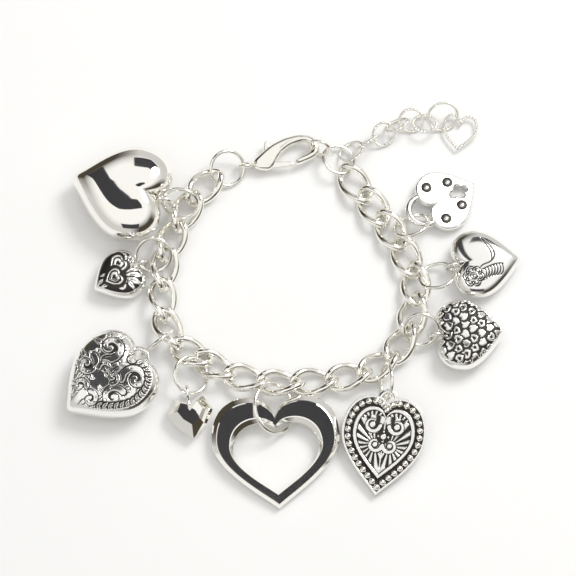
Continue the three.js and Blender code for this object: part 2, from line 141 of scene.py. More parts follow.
def add_node(tree, kind, sockets={}, **settings):
    """Adds a node. A socket's value is a plain value or the output that feeds it."""
    node = tree.nodes.new(kind)
    for setting, value in settings.items():
        setattr(node, setting, value)
    for socket, value in sockets.items():
        if isinstance(value, bpy.types.NodeSocket):
            tree.links.new(value, node.inputs[socket])
        else:
            node.inputs[socket].default_value = value
    return node.outputs


def finish_tree(tree, geometry, material):
    """Ends a tree as the export needs it: real geometry, with its material set."""
    real = add_node(tree, "GeometryNodeRealizeInstances", {"Geometry": geometry})
    painted = add_node(tree, "GeometryNodeSetMaterial", {"Geometry": real[0], "Material": material})
    result = tree.nodes.new("NodeGroupOutput")
    tree.links.new(painted[0], result.inputs[0])


def run_tree(name, tree, start, values):
    """Runs a tree on a start mesh and keeps the result as a plain mesh object."""
    holder = bpy.data.objects.new(name + "_holder", start)
    bpy.context.scene.collection.objects.link(holder)
    modifier = holder.modifiers.new("tree", "NODES")
    modifier.node_group = tree
    for item in tree.interface.items_tree:
        if item.in_out == "INPUT" and item.name in values:
            modifier[item.identifier] = values[item.name]
    evaluated = holder.evaluated_get(bpy.context.evaluated_depsgraph_get())
    mesh = bpy.data.meshes.new_from_object(evaluated)
    bpy.data.objects.remove(holder)
    piece = bpy.data.objects.new(name, mesh)
    bpy.context.scene.collection.objects.link(piece)
    return piece


def marked_points(name, poses, **numbers):
    """One point for each pose, with its turn and other numbers as attributes."""
    mesh = bpy.data.meshes.new(name)
    mesh.from_pydata([tuple(middle * MM) for middle, _ in poses], [], [])
    turns = mesh.attributes.new("turn", "FLOAT_VECTOR", "POINT")
    angles = [Matrix(axes.tolist()).to_euler() for _, axes in poses]
    turns.data.foreach_set("vector", [part for angle in angles for part in angle])
    for label, values in numbers.items():
        attribute = mesh.attributes.new(label, "FLOAT", "POINT")
        attribute.data.foreach_set("value", [value * MM for value in values])
    return mesh


def triangle_count(piece):
    return sum(len(face.vertices) - 2 for face in piece.data.polygons)


print("helpers ready")

# %% [markdown]
# ## Silver finishes
#
# Silver plate is a mirror with a slightly warm tint, fine handling scratches and faint haze.
# On the cast charms a black patina stays in the hollows and is polished off the high places.
# Each charm's mesh carries a number called tone, 1 on high places and 0 in hollows, and the
# antiqued finish mixes patina and silver by it.

# %% Bright silver
def start_material(name):
    material = bpy.data.materials.new(name)
    material.use_nodes = True
    tree = material.node_tree
    shader = tree.nodes["Principled BSDF"]
    return material, shader, lambda kind, sockets={}, **settings: add_node(
        tree, kind, sockets, **settings
    )


def handling_marks(node, scale, strength):
    """Fine bumps of worn plate: soft waviness and hairline scratches."""
    place = node("ShaderNodeTexCoord")["Object"]
    waves = node("ShaderNodeTexNoise", {"Vector": place, "Scale": scale, "Detail": 3.0})
    stretched = node("ShaderNodeMapping", {"Vector": place, "Rotation": (0.4, 0.2, 0.8),
                                           "Scale": (9000.0, 700.0, 2500.0)})
    hairs = node("ShaderNodeTexNoise", {"Vector": stretched[0], "Scale": 1.0, "Detail": 2.0})
    soft = node("ShaderNodeBump", {"Height": waves[0], "Strength": strength, "Distance": 0.00006})
    fine = node("ShaderNodeBump", {"Height": hairs[0], "Normal": soft[0],
                                   "Strength": 0.4 * strength, "Distance": 0.00001})
    return waves, fine[0]


def bright_silver(name, tint, roughness, waviness):
    material, shader, node = start_material(name)
    waves, bumps = handling_marks(node, 260.0, waviness)
    haze = node("ShaderNodeMapRange", {"Value": waves[0], "From Min": 0.35, "From Max": 0.7,
                                       "To Min": roughness, "To Max": 1.6 * roughness})
    warmth = node("ShaderNodeMix", {"Factor": waves[0], "A": tint, "B": (0.97, 0.94, 0.86, 1)},
                  data_type="RGBA")
    links = material.node_tree.links
    links.new(haze[0], shader.inputs["Roughness"])
    links.new(warmth[2], shader.inputs["Base Color"])
    links.new(bumps, shader.inputs["Normal"])
    shader.inputs["Metallic"].default_value = 1.0
    return material


wire_silver = bright_silver("bright_wire_silver", (0.93, 0.92, 0.875, 1), 0.07, 0.25)
plate_silver = bright_silver("mirror_silver_plate", (0.95, 0.945, 0.93, 1), 0.035, 0.08)
print("finishes:", wire_silver.name, plate_silver.name)

# %% [markdown]
# The antiqued finish reads the tone from the mesh. A ramp keeps the patina to the deeper
# hollows, and a little noise breaks its edge, because the polishing wheel reaches unevenly.

# %% Antiqued silver
def antiqued_silver(name, dark_below, bright_above):
    material, shader, node = start_material(name)
    waves, bumps = handling_marks(node, 400.0, 0.2)
    tone = node("ShaderNodeAttribute", attribute_name="tone")["Fac"]
    worn = node("ShaderNodeMath", {0: waves[0], 1: 0.3, 2: -0.15}, operation="MULTIPLY_ADD")
    rubbed = node("ShaderNodeMath", {0: tone, 1: worn[0]}, operation="ADD")
    share = node("ShaderNodeMapRange", {"Value": rubbed[0], "From Min": dark_below,
                                        "From Max": bright_above})
    colour = node("ShaderNodeMix", {"Factor": share[0], "A": (0.06, 0.055, 0.05, 1),
                                    "B": (0.93, 0.92, 0.89, 1)}, data_type="RGBA")
    gloss = node("ShaderNodeMapRange", {"Value": share[0], "To Min": 0.45, "To Max": 0.13})
    links = material.node_tree.links
    links.new(colour[2], shader.inputs["Base Color"])
    links.new(gloss[0], shader.inputs["Roughness"])
    links.new(bumps, shader.inputs["Normal"])
    shader.inputs["Metallic"].default_value = 1.0
    return material


antiqued = antiqued_silver("antiqued_silver", 0.25, 0.65)
print("finish:", antiqued.name)

# %% [markdown]
# ## The curb chain
#
# A curb link is an oval of round wire, twisted so that its ends stand at 45 degrees and
# neighbours cross cleanly. It could be bent from a Bezier curve by hand, but the twist follows
# a rule, so a tree bends a circle into the oval, sweeps the wire along it, and lays the link
# on twenty marked points.

# %% One twisted link, laid twenty times
LINK = {"Half length": 5.25 * MM, "Half width": 3.0 * MM, "End twist": math.radians(-48),
        "Wire": 1.68 * MM, "Steps": 72, "Sides": 16}


def link_tree(material):
    inputs = {label: "NodeSocketInt" if isinstance(size, int) else "NodeSocketFloat"
              for label, size in LINK.items()}
    tree, given, node = new_tree("twisted_link", inputs)

    def product(a, b):
        return node("ShaderNodeMath", {0: a, 1: b}, operation="MULTIPLY")[0]

    circle = node("GeometryNodeCurvePrimitiveCircle", {"Resolution": given["Steps"], "Radius": 1.0})
    place = node("ShaderNodeSeparateXYZ", {0: node("GeometryNodeInputPosition")[0]})
    twist = product(place["X"], given["End twist"])
    across = product(place["Y"], given["Half width"])
    bent = node("ShaderNodeCombineXYZ", {
        "X": product(place["X"], given["Half length"]),
        "Y": product(across, node("ShaderNodeMath", {0: twist}, operation="COSINE")[0]),
        "Z": product(across, node("ShaderNodeMath", {0: twist}, operation="SINE")[0]),
    })
    oval = node("GeometryNodeSetPosition", {"Geometry": circle[0], "Position": bent[0]})
    section = node("GeometryNodeCurvePrimitiveCircle", {
        "Resolution": given["Sides"], "Radius": product(given["Wire"], 0.5),
    })
    wire = node("GeometryNodeCurveToMesh", {"Curve": oval[0], "Profile Curve": section[0]})
    smooth = node("GeometryNodeSetShadeSmooth", {"Geometry": wire[0]})
    turn = node("GeometryNodeInputNamedAttribute", {"Name": "turn"}, data_type="FLOAT_VECTOR")
    laid = node("GeometryNodeInstanceOnPoints", {
        "Points": given["Geometry"], "Instance": smooth[0],
        "Rotation": node("FunctionNodeEulerToRotation", {0: turn["Attribute"]})[0],
    })
    finish_tree(tree, laid[0], material)
    return tree


chain = run_tree("chain_links", link_tree(wire_silver), marked_points("link_points", link_poses), LINK)
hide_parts(*link_names)
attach(chain, "bracelet")
print("chain:", triangle_count(chain), "triangles")

# %% [markdown]
# ## Jump rings
#
# A jump ring is a round of wire, cut once and pressed shut, so a fine seam shows where its ends
# meet. The tree lays an arc on each point, scaled to that ring's radius, and only then sweeps
# the wire, so that every ring keeps its true wire whatever its radius.

# %% The seamed rings
RING_WIRE = 0.92
CATCH_RING_WIRE = 0.82
RING = {"Seam": math.radians(1.6), "Steps": 72, "Sides": 12}
end_rings = ("clasp_end_ring", "end_ring", "catch_ring")
ring_names = sorted(name for name in frame["nodes"] if name.startswith("ring_") or name in end_rings)
ring_poses = [wire_axes(name) for name in ring_names]


def ring_radius(name, wire):
    """Half the ring's width, less half its wire."""
    middle, axes = wire_axes(name)
    reach = np.linalg.norm((node_points(name) - middle) @ axes[:, :2], axis=1)
    return reach.max() - wire / 2


def ring_tree(material):
    tree, given, node = new_tree("seamed_ring", {
        "Seam": "NodeSocketFloat", "Steps": "NodeSocketInt", "Sides": "NodeSocketInt",
    })
    sweep = node("ShaderNodeMath", {0: 2 * math.pi, 1: given["Seam"]}, operation="SUBTRACT")[0]
    arc = node("GeometryNodeCurveArc", {
        "Resolution": given["Steps"], "Radius": 1.0, "Start Angle": 2.4, "Sweep Angle": sweep,
    })

    def marked(label, kind="FLOAT"):
        return node("GeometryNodeInputNamedAttribute", {"Name": label}, data_type=kind)["Attribute"]

    laid = node("GeometryNodeInstanceOnPoints", {
        "Points": given["Geometry"], "Instance": arc[0], "Scale": marked("radius"),
        "Rotation": node("FunctionNodeEulerToRotation", {0: marked("turn", "FLOAT_VECTOR")})[0],
    })
    arcs = node("GeometryNodeRealizeInstances", {"Geometry": laid[0]})
    section = node("GeometryNodeCurvePrimitiveCircle", {"Resolution": given["Sides"], "Radius": 1.0})
    wire = node("GeometryNodeCurveToMesh", {
        "Curve": arcs[0], "Profile Curve": section[0], "Scale": marked("half_wire"),
        "Fill Caps": True,
    })
    smooth = node("GeometryNodeSetShadeSmooth", {"Geometry": wire[0]})
    finish_tree(tree, smooth[0], material)
    return tree


ring_wires = [CATCH_RING_WIRE if name == "catch_ring" else RING_WIRE for name in ring_names]
ring_points = marked_points(
    "ring_points", ring_poses,
    radius=[ring_radius(name, wire) for name, wire in zip(ring_names, ring_wires)],
    half_wire=[wire / 2 for wire in ring_wires],
)
rings = run_tree("jump_rings", ring_tree(wire_silver), ring_points, RING)
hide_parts(*ring_names)
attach(rings, "bracelet")
print("jump rings:", len(ring_names), "with", triangle_count(rings), "triangles")

# %% [markdown]
# ## The outline of a heart
#
# Almost everything hung on this bracelet is a heart, so its outline is written once. It could
# be traced for each charm, but one outline with a width, a length and the depth of its cleft
# serves them all: two curves down the left side, then their mirror image.

# %% The outline of a heart
def bezier(a, b, c, d, count):
    t = np.linspace(0, 1, count + 1)[:, None]
    return ((1 - t) ** 3 * a + 3 * (1 - t) ** 2 * t * b + 3 * (1 - t) * t * t * c + t ** 3 * d)


def evenly(path, count):
    """A path's points, moved to equal steps along it."""
    steps = np.r_[0, np.cumsum(np.linalg.norm(np.diff(path, axis=0), axis=1))]
    wanted = np.linspace(0, steps[-1], count + 1)
    return np.column_stack([np.interp(wanted, steps, path[:, k]) for k in (0, 1)])


def heart_outline(width, length, notch, count):
    """A heart: cleft at the top, tip down, its origin a little under the cleft."""
    top = 0.42 * length
    side = top - 0.36 * length
    lift = (notch + 0.36 * length) / 6
    half = width / 2
    corners = [(0, top - notch), (-0.1 * half, top + lift), (-half, top + lift), (-half, side),
               (-half, top - 0.62 * length), (-0.3 * half, top - 0.86 * length),
               (0, top - length)]
    a, b, c, d, e, f, g = [np.array(corner, float) for corner in corners]
    left = np.vstack([bezier(a, b, c, d, 60), bezier(d, e, f, g, 60)[1:]])
    left = evenly(left, count // 2)
    right = left[::-1] * [-1, 1]
    return np.vstack([left[:-1], right[:-1]])


print("a heart outline starts at its cleft:", heart_outline(20, 20, 3, 8)[0])

# %% [markdown]
# ## Twisted wire of the extension
#
# The extension's rings and its small heart are bent from two-strand twisted wire, which glints
# like a rope. A tree can twist any closed path: it turns a flattened section about the path, a
# whole number of half turns, so that the ends meet.

# %% Rings and heart of twisted wire
TWISTED_WIRE = 0.8
TWIST = {"Wire": TWISTED_WIRE * MM, "Flatness": 0.62, "Pitch": 0.75 * MM, "Steps": 220, "Sides": 10}
extension_names = [f"ext_ring_{i}" for i in range(1, 8)]
WIRE_HEART = {"width": 8, "length": 8.6, "notch": 2.2, "heading": 82}


def ring_path(name, count=120):
    middle, axes = wire_axes(name)
    angle = np.linspace(0, 2 * math.pi, count, endpoint=False)
    flat = np.column_stack([np.cos(angle), np.sin(angle), 0 * angle])
    return middle + ring_radius(name, TWISTED_WIRE) * flat @ axes.T


def heart_path():
    flat = heart_outline(WIRE_HEART["width"], WIRE_HEART["length"], WIRE_HEART["notch"], 120)
    turn = math.radians(WIRE_HEART["heading"] - 90)
    flat = flat @ np.array([[math.cos(turn), math.sin(turn)], [-math.sin(turn), math.cos(turn)]])
    low, high = [np.array(corner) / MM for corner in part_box("ext_heart")]
    shift = (low + high)[:2] / 2 - (flat.max(axis=0) + flat.min(axis=0)) / 2
    return np.column_stack([flat + shift, np.full(len(flat), (low[2] + high[2]) / 2)])


def paths_mesh(paths):
    """Closed paths as loops of edges."""
    mesh = bpy.data.meshes.new("paths")
    edges = []
    start = 0
    for path in paths:
        count = len(path)
        edges += [(start + i, start + (i + 1) % count) for i in range(count)]
        start += count
    mesh.from_pydata((np.vstack(paths) * MM).tolist(), edges, [])
    return mesh


def twisted_tree(material):
    tree, given, node = new_tree("twisted_wire", {
        "Wire": "NodeSocketFloat", "Flatness": "NodeSocketFloat", "Pitch": "NodeSocketFloat",
        "Steps": "NodeSocketInt", "Sides": "NodeSocketInt",
    })

    def maths(operation, a, b=0.0):
        return node("ShaderNodeMath", {0: a, 1: b}, operation=operation)[0]

    path = node("GeometryNodeMeshToCurve", {"Mesh": given["Geometry"]})
    path = node("GeometryNodeResampleCurve", {"Curve": path[0], "Count": given["Steps"]})
    around = node("GeometryNodeSplineParameter")["Factor"]
    length = node("GeometryNodeSplineLength")["Length"]
    turns = maths("ROUND", maths("DIVIDE", length, given["Pitch"]))
    tilt = maths("MULTIPLY", maths("MULTIPLY", around, turns), math.pi)
    path = node("GeometryNodeSetCurveTilt", {"Curve": path[0], "Tilt": tilt})
    section = node("GeometryNodeCurvePrimitiveCircle", {
        "Resolution": given["Sides"], "Radius": maths("MULTIPLY", given["Wire"], 0.5),
    })
    squeeze = node("ShaderNodeCombineXYZ", {"X": 1.0, "Y": given["Flatness"], "Z": 1.0})
    section = node("GeometryNodeTransform", {"Geometry": section[0], "Scale": squeeze[0]})
    wire = node("GeometryNodeCurveToMesh", {"Curve": path[0], "Profile Curve": section[0]})
    smooth = node("GeometryNodeSetShadeSmooth", {"Geometry": wire[0]})
    finish_tree(tree, smooth[0], material)
    return tree


extension = run_tree(
    "extension_wire", twisted_tree(wire_silver),
    paths_mesh([ring_path(name) for name in extension_names] + [heart_path()]),
    TWIST,
)
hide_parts(*extension_names, "ext_heart")
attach(extension, "bracelet")
print("extension:", triangle_count(extension), "triangles")

# %% [markdown]
# ## The frame of a charm
#
# A charm is a mirror image of itself across its middle, so one of its principal axes runs
# straight across it. Second moments of its surface give the axes. A cast plate with a flat
# back takes its upright axis from that back, and the charm's own jump ring tells which end is
# up. Its outline then gives the origin.

# %% Own frame of a charm
def surface_axes(name):
    """Area-weighted principal axes of a node's surface, and its corners by triangle."""
    mesh = frame["nodes"][name].data
    mesh.calc_loop_triangles()
    index = np.array([t.vertices[:] for t in mesh.loop_triangles])
    corners = node_points(name)[index]
    normals = np.cross(corners[:, 1] - corners[:, 0], corners[:, 2] - corners[:, 0]) / 2
    area = np.linalg.norm(normals, axis=1)
    middle = (area[:, None] * corners.mean(axis=1)).sum(axis=0) / area.sum()
    offsets = corners - middle
    total = offsets.sum(axis=1)
    moments = np.einsum("t,tki,tkj->ij", area, offsets, offsets)
    moments += np.einsum("t,ti,tj->ij", area, total, total)
    return middle, np.linalg.eigh(moments)[1].T, normals, area


def flat_back_axis(normals, area):
    """The upward normal of the largest flat face that looks down."""
    down = normals[:, 2] < -0.8 * area
    units = (normals[down] / area[down, None]).round(2)
    kinds, which = np.unique(units, axis=0, return_inverse=True)
    sums = np.bincount(which.ravel(), weights=area[down])
    best = normals[down][which.ravel() == sums.argmax()].sum(axis=0)
    return -best / np.linalg.norm(best)


def charm_frame(name, length, back_depth, flat_back):
    """Rows x, y, z of the charm's own axes and its origin, in millimetres."""
    middle, axes, normals, area = surface_axes("charm_" + name)
    upright = max(axes, key=lambda axis: abs(axis[2]))
    if flat_back:
        upright = flat_back_axis(normals, area)
    upright = upright * math.copysign(1, upright[2])
    to_ring = wire_axes("ring_" + name)[0] - middle
    to_ring[2] = 0
    across = min(axes, key=lambda axis: abs(axis @ to_ring) / np.linalg.norm(to_ring) + abs(axis[2]))
    across = across - (across @ upright) * upright
    across /= np.linalg.norm(across)
    up = np.cross(upright, across)
    if up @ to_ring < 0:
        across, up = -across, -up
    turn = np.array([across, up, upright])
    own = node_points("charm_" + name) @ turn.T
    low, high = own.min(axis=0), own.max(axis=0)
    origin = np.array([(low[0] + high[0]) / 2, low[1] + 0.58 * length, low[2] + back_depth])
    return turn, origin @ turn


CHARMS = {
    # own sizes in mm, the depth of the back under the origin, and whether the back is flat
    "plain_heart": {"length": 24, "back": 5.5, "flat": False},
    "little_hearts": {"length": 12.5, "back": 2.8, "flat": False},
    "scroll_heart": {"length": 23, "back": 4.5, "flat": False},
    "faceted_heart": {"length": 10.5, "back": 2.8, "flat": False},
    "open_heart": {"length": 27, "back": 1.2, "flat": True},
    "beaded_heart": {"length": 23.5, "back": 1.0, "flat": True},
    "many_hearts": {"length": 16.6, "back": 3.5, "flat": False},
    "rose_heart": {"length": 16.6, "back": 3.0, "flat": False},
    "padlock": {"length": 14, "back": 1.0, "flat": True},
}
frames = {name: charm_frame(name, c["length"], c["back"], c["flat"]) for name, c in CHARMS.items()}
for name, (turn, origin) in frames.items():
    heading = math.degrees(math.atan2(turn[1][1], turn[1][0]))
    print(f"{name}: origin {origin.round(2)}, heading {heading:.1f}, upright {turn[2].round(3)}")

# %% [markdown]
# ## Building a cast charm
#
# Cast charms are meshes of rows and columns: each row is a copy of the heart's outline, drawn
# in and raised. The same few helpers serve all nine: two close rows of points into a solid,
# one makes a round wire for the bail, and two join the parts of a charm and put it in place.

# %% Helpers for solid parts
def solid_rows(rows, tone=None):
    """A closed solid from rows of points. The first and last rows are single poles."""
    count = rows[1].shape[0]
    points = np.vstack(rows)
    starts = np.r_[0, np.cumsum([len(row) for row in rows])]
    i = np.arange(count)
    j = (i + 1) % count
    faces = [np.column_stack([np.zeros(count, int), 1 + j, 1 + i]).tolist()]
    for low, high in zip(starts[1:-3], starts[2:-2]):
        faces.append(np.column_stack([low + i, low + j, high + j, high + i]).tolist())
    last = starts[-3]
    faces.append(np.column_stack([last + i, last + j, np.full(count, starts[-2])]).tolist())
    tone = np.ones(len(points)) if tone is None else tone
    return points, [face for group in faces for face in group], tone


def closed_grid(points, flipped=False):
    """A surface from a grid of points that closes on itself both ways, like a ring."""
    rows, columns = points.shape[:2]
    index = np.arange(rows * columns).reshape(rows, columns)
    right, below = np.roll(index, -1, 1), np.roll(index, -1, 0)
    opposite = np.roll(right, -1, 0)
    corners = (index, below, opposite, right) if flipped else (index, right, opposite, below)
    faces = np.stack(corners, axis=-1).reshape(-1, 4)
    return points.reshape(-1, 3), faces.tolist(), np.ones(rows * columns)


def round_wire(path, radii, sides=14, closed=True):
    """A wire of round section along a path of points, closed or with rounded ends."""
    count = len(path)
    after, before = np.roll(path, -1, axis=0), np.roll(path, 1, axis=0)
    if not closed:
        after[-1], before[0] = path[-1], path[0]
    along = after - before
    along /= np.linalg.norm(along, axis=1)[:, None]
    helper = np.eye(3)[np.abs(along).max(axis=0).argmin()]
    side = np.cross(along, helper)
    side /= np.linalg.norm(side, axis=1)[:, None]
    other = np.cross(along, side)
    angle = np.linspace(0, 2 * math.pi, sides, endpoint=False)
    radii = np.broadcast_to(radii, (count,))[:, None, None]
    cosine, sine = np.cos(angle)[None, :, None], np.sin(angle)[None, :, None]
    sweep = cosine * side[:, None] + sine * other[:, None]
    rows = path[:, None] + radii * sweep
    if not closed:
        return solid_rows([path[:1], *rows, path[-1:]])
    return closed_grid(rows)


def circle_path(radius, middle, across, count=48):
    """A circle in the charm's plane, or across it, about a point."""
    angle = np.linspace(0, 2 * math.pi, count, endpoint=False)
    flat = radius * np.cos(angle), radius * np.sin(angle), 0 * angle
    columns = (flat[2], flat[0], flat[1]) if across else flat
    return np.column_stack(columns) + middle


BAILS = {
    # radius and wire of the ring, height of its middle, whether it stands across, its foot
    "plain_heart": (1.85, 0.9, 9.8, True, 3.4),
    "little_hearts": (1.7, 0.9, 5.6, True, 2.0),
    "scroll_heart": (2.2, 1.1, 8.3, False, 3.0),
    "faceted_heart": (1.65, 0.9, 5.2, True, 2.0),
    "many_hearts": (1.8, 0.9, 7.2, True, 3.0),
    "rose_heart": (1.8, 0.9, 7.2, True, 3.0),
}


def bail(charm):
    """A cast ring and the tapered foot that joins it to the charm."""
    radius, wire, y, across, stem = BAILS[charm]
    ring = round_wire(circle_path(radius, (0, y, 0), across), wire / 2)
    steps = np.linspace(0, 1, 7)
    foot_path = np.column_stack([0 * steps, y - radius - stem * (1 - steps), 0 * steps])
    return [ring, round_wire(foot_path, wire * (0.75 - 0.3 * steps), closed=False)]


def one_object(name, parts, turn, origin, material):
    """One smooth object from several parts, turned and moved to its place."""
    points, faces = [], []
    start = 0
    for part_points, part_faces, _ in parts:
        points.append(part_points)
        faces += [[start + corner for corner in face] for face in part_faces]
        start += len(part_points)
    mesh = bpy.data.meshes.new(name)
    mesh.from_pydata(((np.vstack(points) @ turn + origin) * MM).tolist(), [], faces)
    mesh.materials.append(material)
    mesh.shade_smooth()
    piece = bpy.data.objects.new(name, mesh)
    bpy.context.scene.collection.objects.link(piece)
    return piece


def joined(name, parts, charm, material, sharp_angle=180):
    """A charm from its parts, with its tone, riding on the bracelet."""
    piece = one_object(name, parts, *frames[charm], material)
    tones = np.concatenate([part_tone for _, _, part_tone in parts])
    piece.data.attributes.new("tone", "FLOAT", "POINT").data.foreach_set("value", tones)
    piece.data.set_sharp_from_angle(angle=math.radians(sharp_angle))
    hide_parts("charm_" + charm)
    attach(piece, "bracelet")
    print(f"{name}: {triangle_count(piece)} triangles")
    return piece


print("helpers for", len(BAILS), "charms with a bail ready")

# %% [markdown]
# ## Puffed hearts
#
# A puffed heart is stamped in two domed halves. Near the rim its section follows the outline,
# and towards the middle it grows rounder, so that the cleft fades into the dome. Its tip is
# rounded, as wear and plating leave it. It could be a modelled ball pushed into shape, but
# rows drawn from the outline hold the rim exactly. A relief can be pressed into the front: it
# is a function from a place on the heart to a height from 0, the sunk ground, to 1, the surface.

# %% A puffed heart with relief
def smooth_round(values, width):
    """Values round a closed outline, averaged over a stretch of it."""
    kernel = np.hanning(width + 2)[1:-1]
    wrapped = np.concatenate([values[-width:], values, values[:width]])
    return np.convolve(wrapped, kernel / kernel.sum(), "same")[width:-width]


def dome(outline, thickness, fullness, rows, side):
    """Rows of one domed half from the rim to the middle, with each row's scale."""
    reach = np.linalg.norm(outline, axis=1)
    soft = smooth_round(reach, len(reach) // 5)
    heading = outline / reach[:, None]
    scales = np.sin(np.linspace(math.pi / 2, 0, rows, endpoint=False))
    made = []
    for scale in scales:
        mixed = soft + (reach - soft) * scale ** 3
        flat = scale * mixed[:, None] * heading
        height = side * thickness / 2 * math.sqrt(max(0.0, 1 - scale ** (2 / fullness)))
        made.append(np.column_stack([flat, np.full(len(flat), height)]))
    return made, scales


def grid_normals(rows):
    """Outward unit normals of a grid of points whose rows run from rim to middle."""
    around = np.roll(rows, -1, axis=1) - np.roll(rows, 1, axis=1)
    inward = np.gradient(rows, axis=0)
    normals = np.cross(around, inward)
    return normals / np.maximum(np.linalg.norm(normals, axis=2, keepdims=True), 1e-9)


WORN_WINDOW = 14
WORN_REACH = 0.22


def round_tip(outline, length):
    """The outline with its tip worn round, and the rest as it was."""
    window = len(outline) // WORN_WINDOW
    worn = np.column_stack([smooth_round(column, window) for column in outline.T])
    tip = outline[outline[:, 1].argmin()]
    away = np.linalg.norm(outline - tip, axis=1) / (WORN_REACH * length)
    share = np.clip(1.3 - away, 0, 1)[:, None]
    return outline * (1 - share) + worn * share


def puffed_heart(size, relief=None, depth=0.28, columns=320, rows=100, back_rows=24):
    """A puffed heart; relief(x, y, scale) gives its front's height from 0 to 1."""
    outline = heart_outline(size["width"], size["length"], size["notch"], columns)
    outline = round_tip(outline, size["length"])
    front, scales = dome(outline, size["thickness"], size["fullness"], rows, 1)
    back, _ = dome(outline, size["thickness"], size["fullness"], back_rows, -1)
    front = np.array(front)
    tone = np.ones(front.shape[:2])
    if relief:
        tone = relief(front[..., 0], front[..., 1], np.repeat(scales[:, None], columns, axis=1))
        front = front - depth * (1 - tone)[..., None] * grid_normals(front)
    half = size["thickness"] / 2
    middle_tone = tone[-1].mean()
    bottom = np.array([[0, 0, -half]])
    top = np.array([[0, 0, half - depth * (1 - middle_tone)]])
    stack = [bottom, *back[:0:-1], *front, top]
    under = np.ones(1 + (back_rows - 1) * columns)
    return solid_rows(stack, np.concatenate([under, tone.ravel(), [middle_tone]]))


PLAIN = {"width": 24, "length": 24, "notch": 3.9, "thickness": 11, "fullness": 0.6}
joined("plain_puffed_heart", [puffed_heart(PLAIN, rows=60), *bail("plain_heart")],
       "plain_heart", plate_silver)

# %% [markdown]
# ## Drawing relief with strokes
#
# Cast ornament is drawn with a few marks. A stroke is a line of points with a half-width at
# each point, and gives a rounded ridge. A small heart is measured by how far a place lies
# from its middle, as a share of its own outline. Each mark is laid over those before it, with a
# sunk line round it, as a carver would cut one leaf in front of another.

# %% Marks for relief
def stroke(x, y, points, widths):
    """Distance from a stroke's line as a share of its half-width there; under 1 is on it."""
    points = np.asarray(points, float)
    widths = np.broadcast_to(widths, (len(points),))
    nearest = np.full(x.shape, 9.0)
    for a, b, wa, wb in zip(points[:-1], points[1:], widths[:-1], widths[1:]):
        run = b - a
        t = ((x - a[0]) * run[0] + (y - a[1]) * run[1]) / max(run @ run, 1e-9)
        t = np.clip(t, 0, 1)
        away = np.hypot(x - a[0] - t * run[0], y - a[1] - t * run[1])
        nearest = np.minimum(nearest, away / (wa + t * (wb - wa)))
    return nearest


def ridge(share):
    """A raised line with rounded shoulders, from its share of the half-width."""
    return np.clip((1.25 - share) / 0.5, 0, 1)


def spiral(x, y, radius, start, turns, end_radius=0.15):
    """Points of a spiral that runs in to its middle. Turns below 0 run clockwise."""
    t = np.linspace(0, 1, max(12, int(abs(turns) * 16)))
    angle = np.radians(start) + 2 * math.pi * turns * t
    reach = radius * (1 - t) + end_radius * t
    return np.column_stack([x + reach * np.cos(angle), y + reach * np.sin(angle)])


def share_of(outline, x, y):
    """A place's distance from the origin, as a share of the outline's in that direction."""
    angles = np.arctan2(outline[:, 1], outline[:, 0])
    order = np.argsort(angles)
    reach = np.interp(np.arctan2(y, x), angles[order], np.hypot(*outline.T)[order],
                      period=2 * math.pi)
    return np.hypot(x, y) / reach


HEART_MARK = heart_outline(2, 1.9, 0.35, 96)


def heart_mark(x, y, middle, size, turn):
    """A place's distance from a small heart's middle, as a share of the heart's outline."""
    c, s = math.cos(math.radians(turn)), math.sin(math.radians(turn))
    u = (c * (x - middle[0]) + s * (y - middle[1])) / size
    v = (-s * (x - middle[0]) + c * (y - middle[1])) / size
    return share_of(HEART_MARK, u, v)


def laid_over(height, share):
    """Lays a mark over what is there: raised inside, with a sunk line round it."""
    return np.where(share < 1.35, np.clip((1.06 - share) / 0.2, 0, 1), height)


print("a small heart's outline has", len(HEART_MARK), "points")

# %% [markdown]
# ## The charm of many hearts
#
# Small raised hearts cover the front, some solid and some hollow, close together on a black
# ground. Rows of them, each nudged and turned a little by a fixed seed, look hand-set.

# %% Many hearts
MANY = {"width": 17.6, "length": 16.6, "notch": 2.4, "thickness": 7, "fullness": 0.5}


ROW_STEP = 2.0
COLUMN_STEP = 2.35
NUDGE = (0.22, 0.18)
MARK_SIZES = (1.0, 1.22)
MARK_TURN = 45
HOLLOW_SHARE = 0.5


def many_hearts_relief(x, y, scale):
    chance = np.random.default_rng(7)
    height = np.zeros(x.shape)
    for row, v in enumerate(np.arange(-9.6, 8, ROW_STEP)):
        for u in np.arange(-9.2, 9.2, COLUMN_STEP) + 1.17 * (row % 2):
            middle = (u + chance.uniform(-NUDGE[0], NUDGE[0]), v + chance.uniform(-NUDGE[1], NUDGE[1]))
            size = chance.uniform(*MARK_SIZES)
            share = heart_mark(x, y, middle, size, chance.uniform(-MARK_TURN, MARK_TURN))
            height = laid_over(height, share)
            if chance.random() < HOLLOW_SHARE:
                height = np.where(share < 0.45, np.clip((share - 0.3) / 0.15, 0, 1), height)
    rim = np.clip((scale - 0.9) / 0.02, 0, 1)
    return np.maximum(height, rim)


joined("many_hearts_charm", [puffed_heart(MANY, many_hearts_relief), *bail("many_hearts")],
       "many_hearts", antiqued)

# %% [markdown]
# ## The little hearts charm
#
# Two double-lined hearts sit in the middle of a small puffed heart, one a little under the
# other, with fans of leaves and small scrolls round them. Photographed ornament could be laid
# on as a picture, but marks drawn in a table stay sharp from any side.

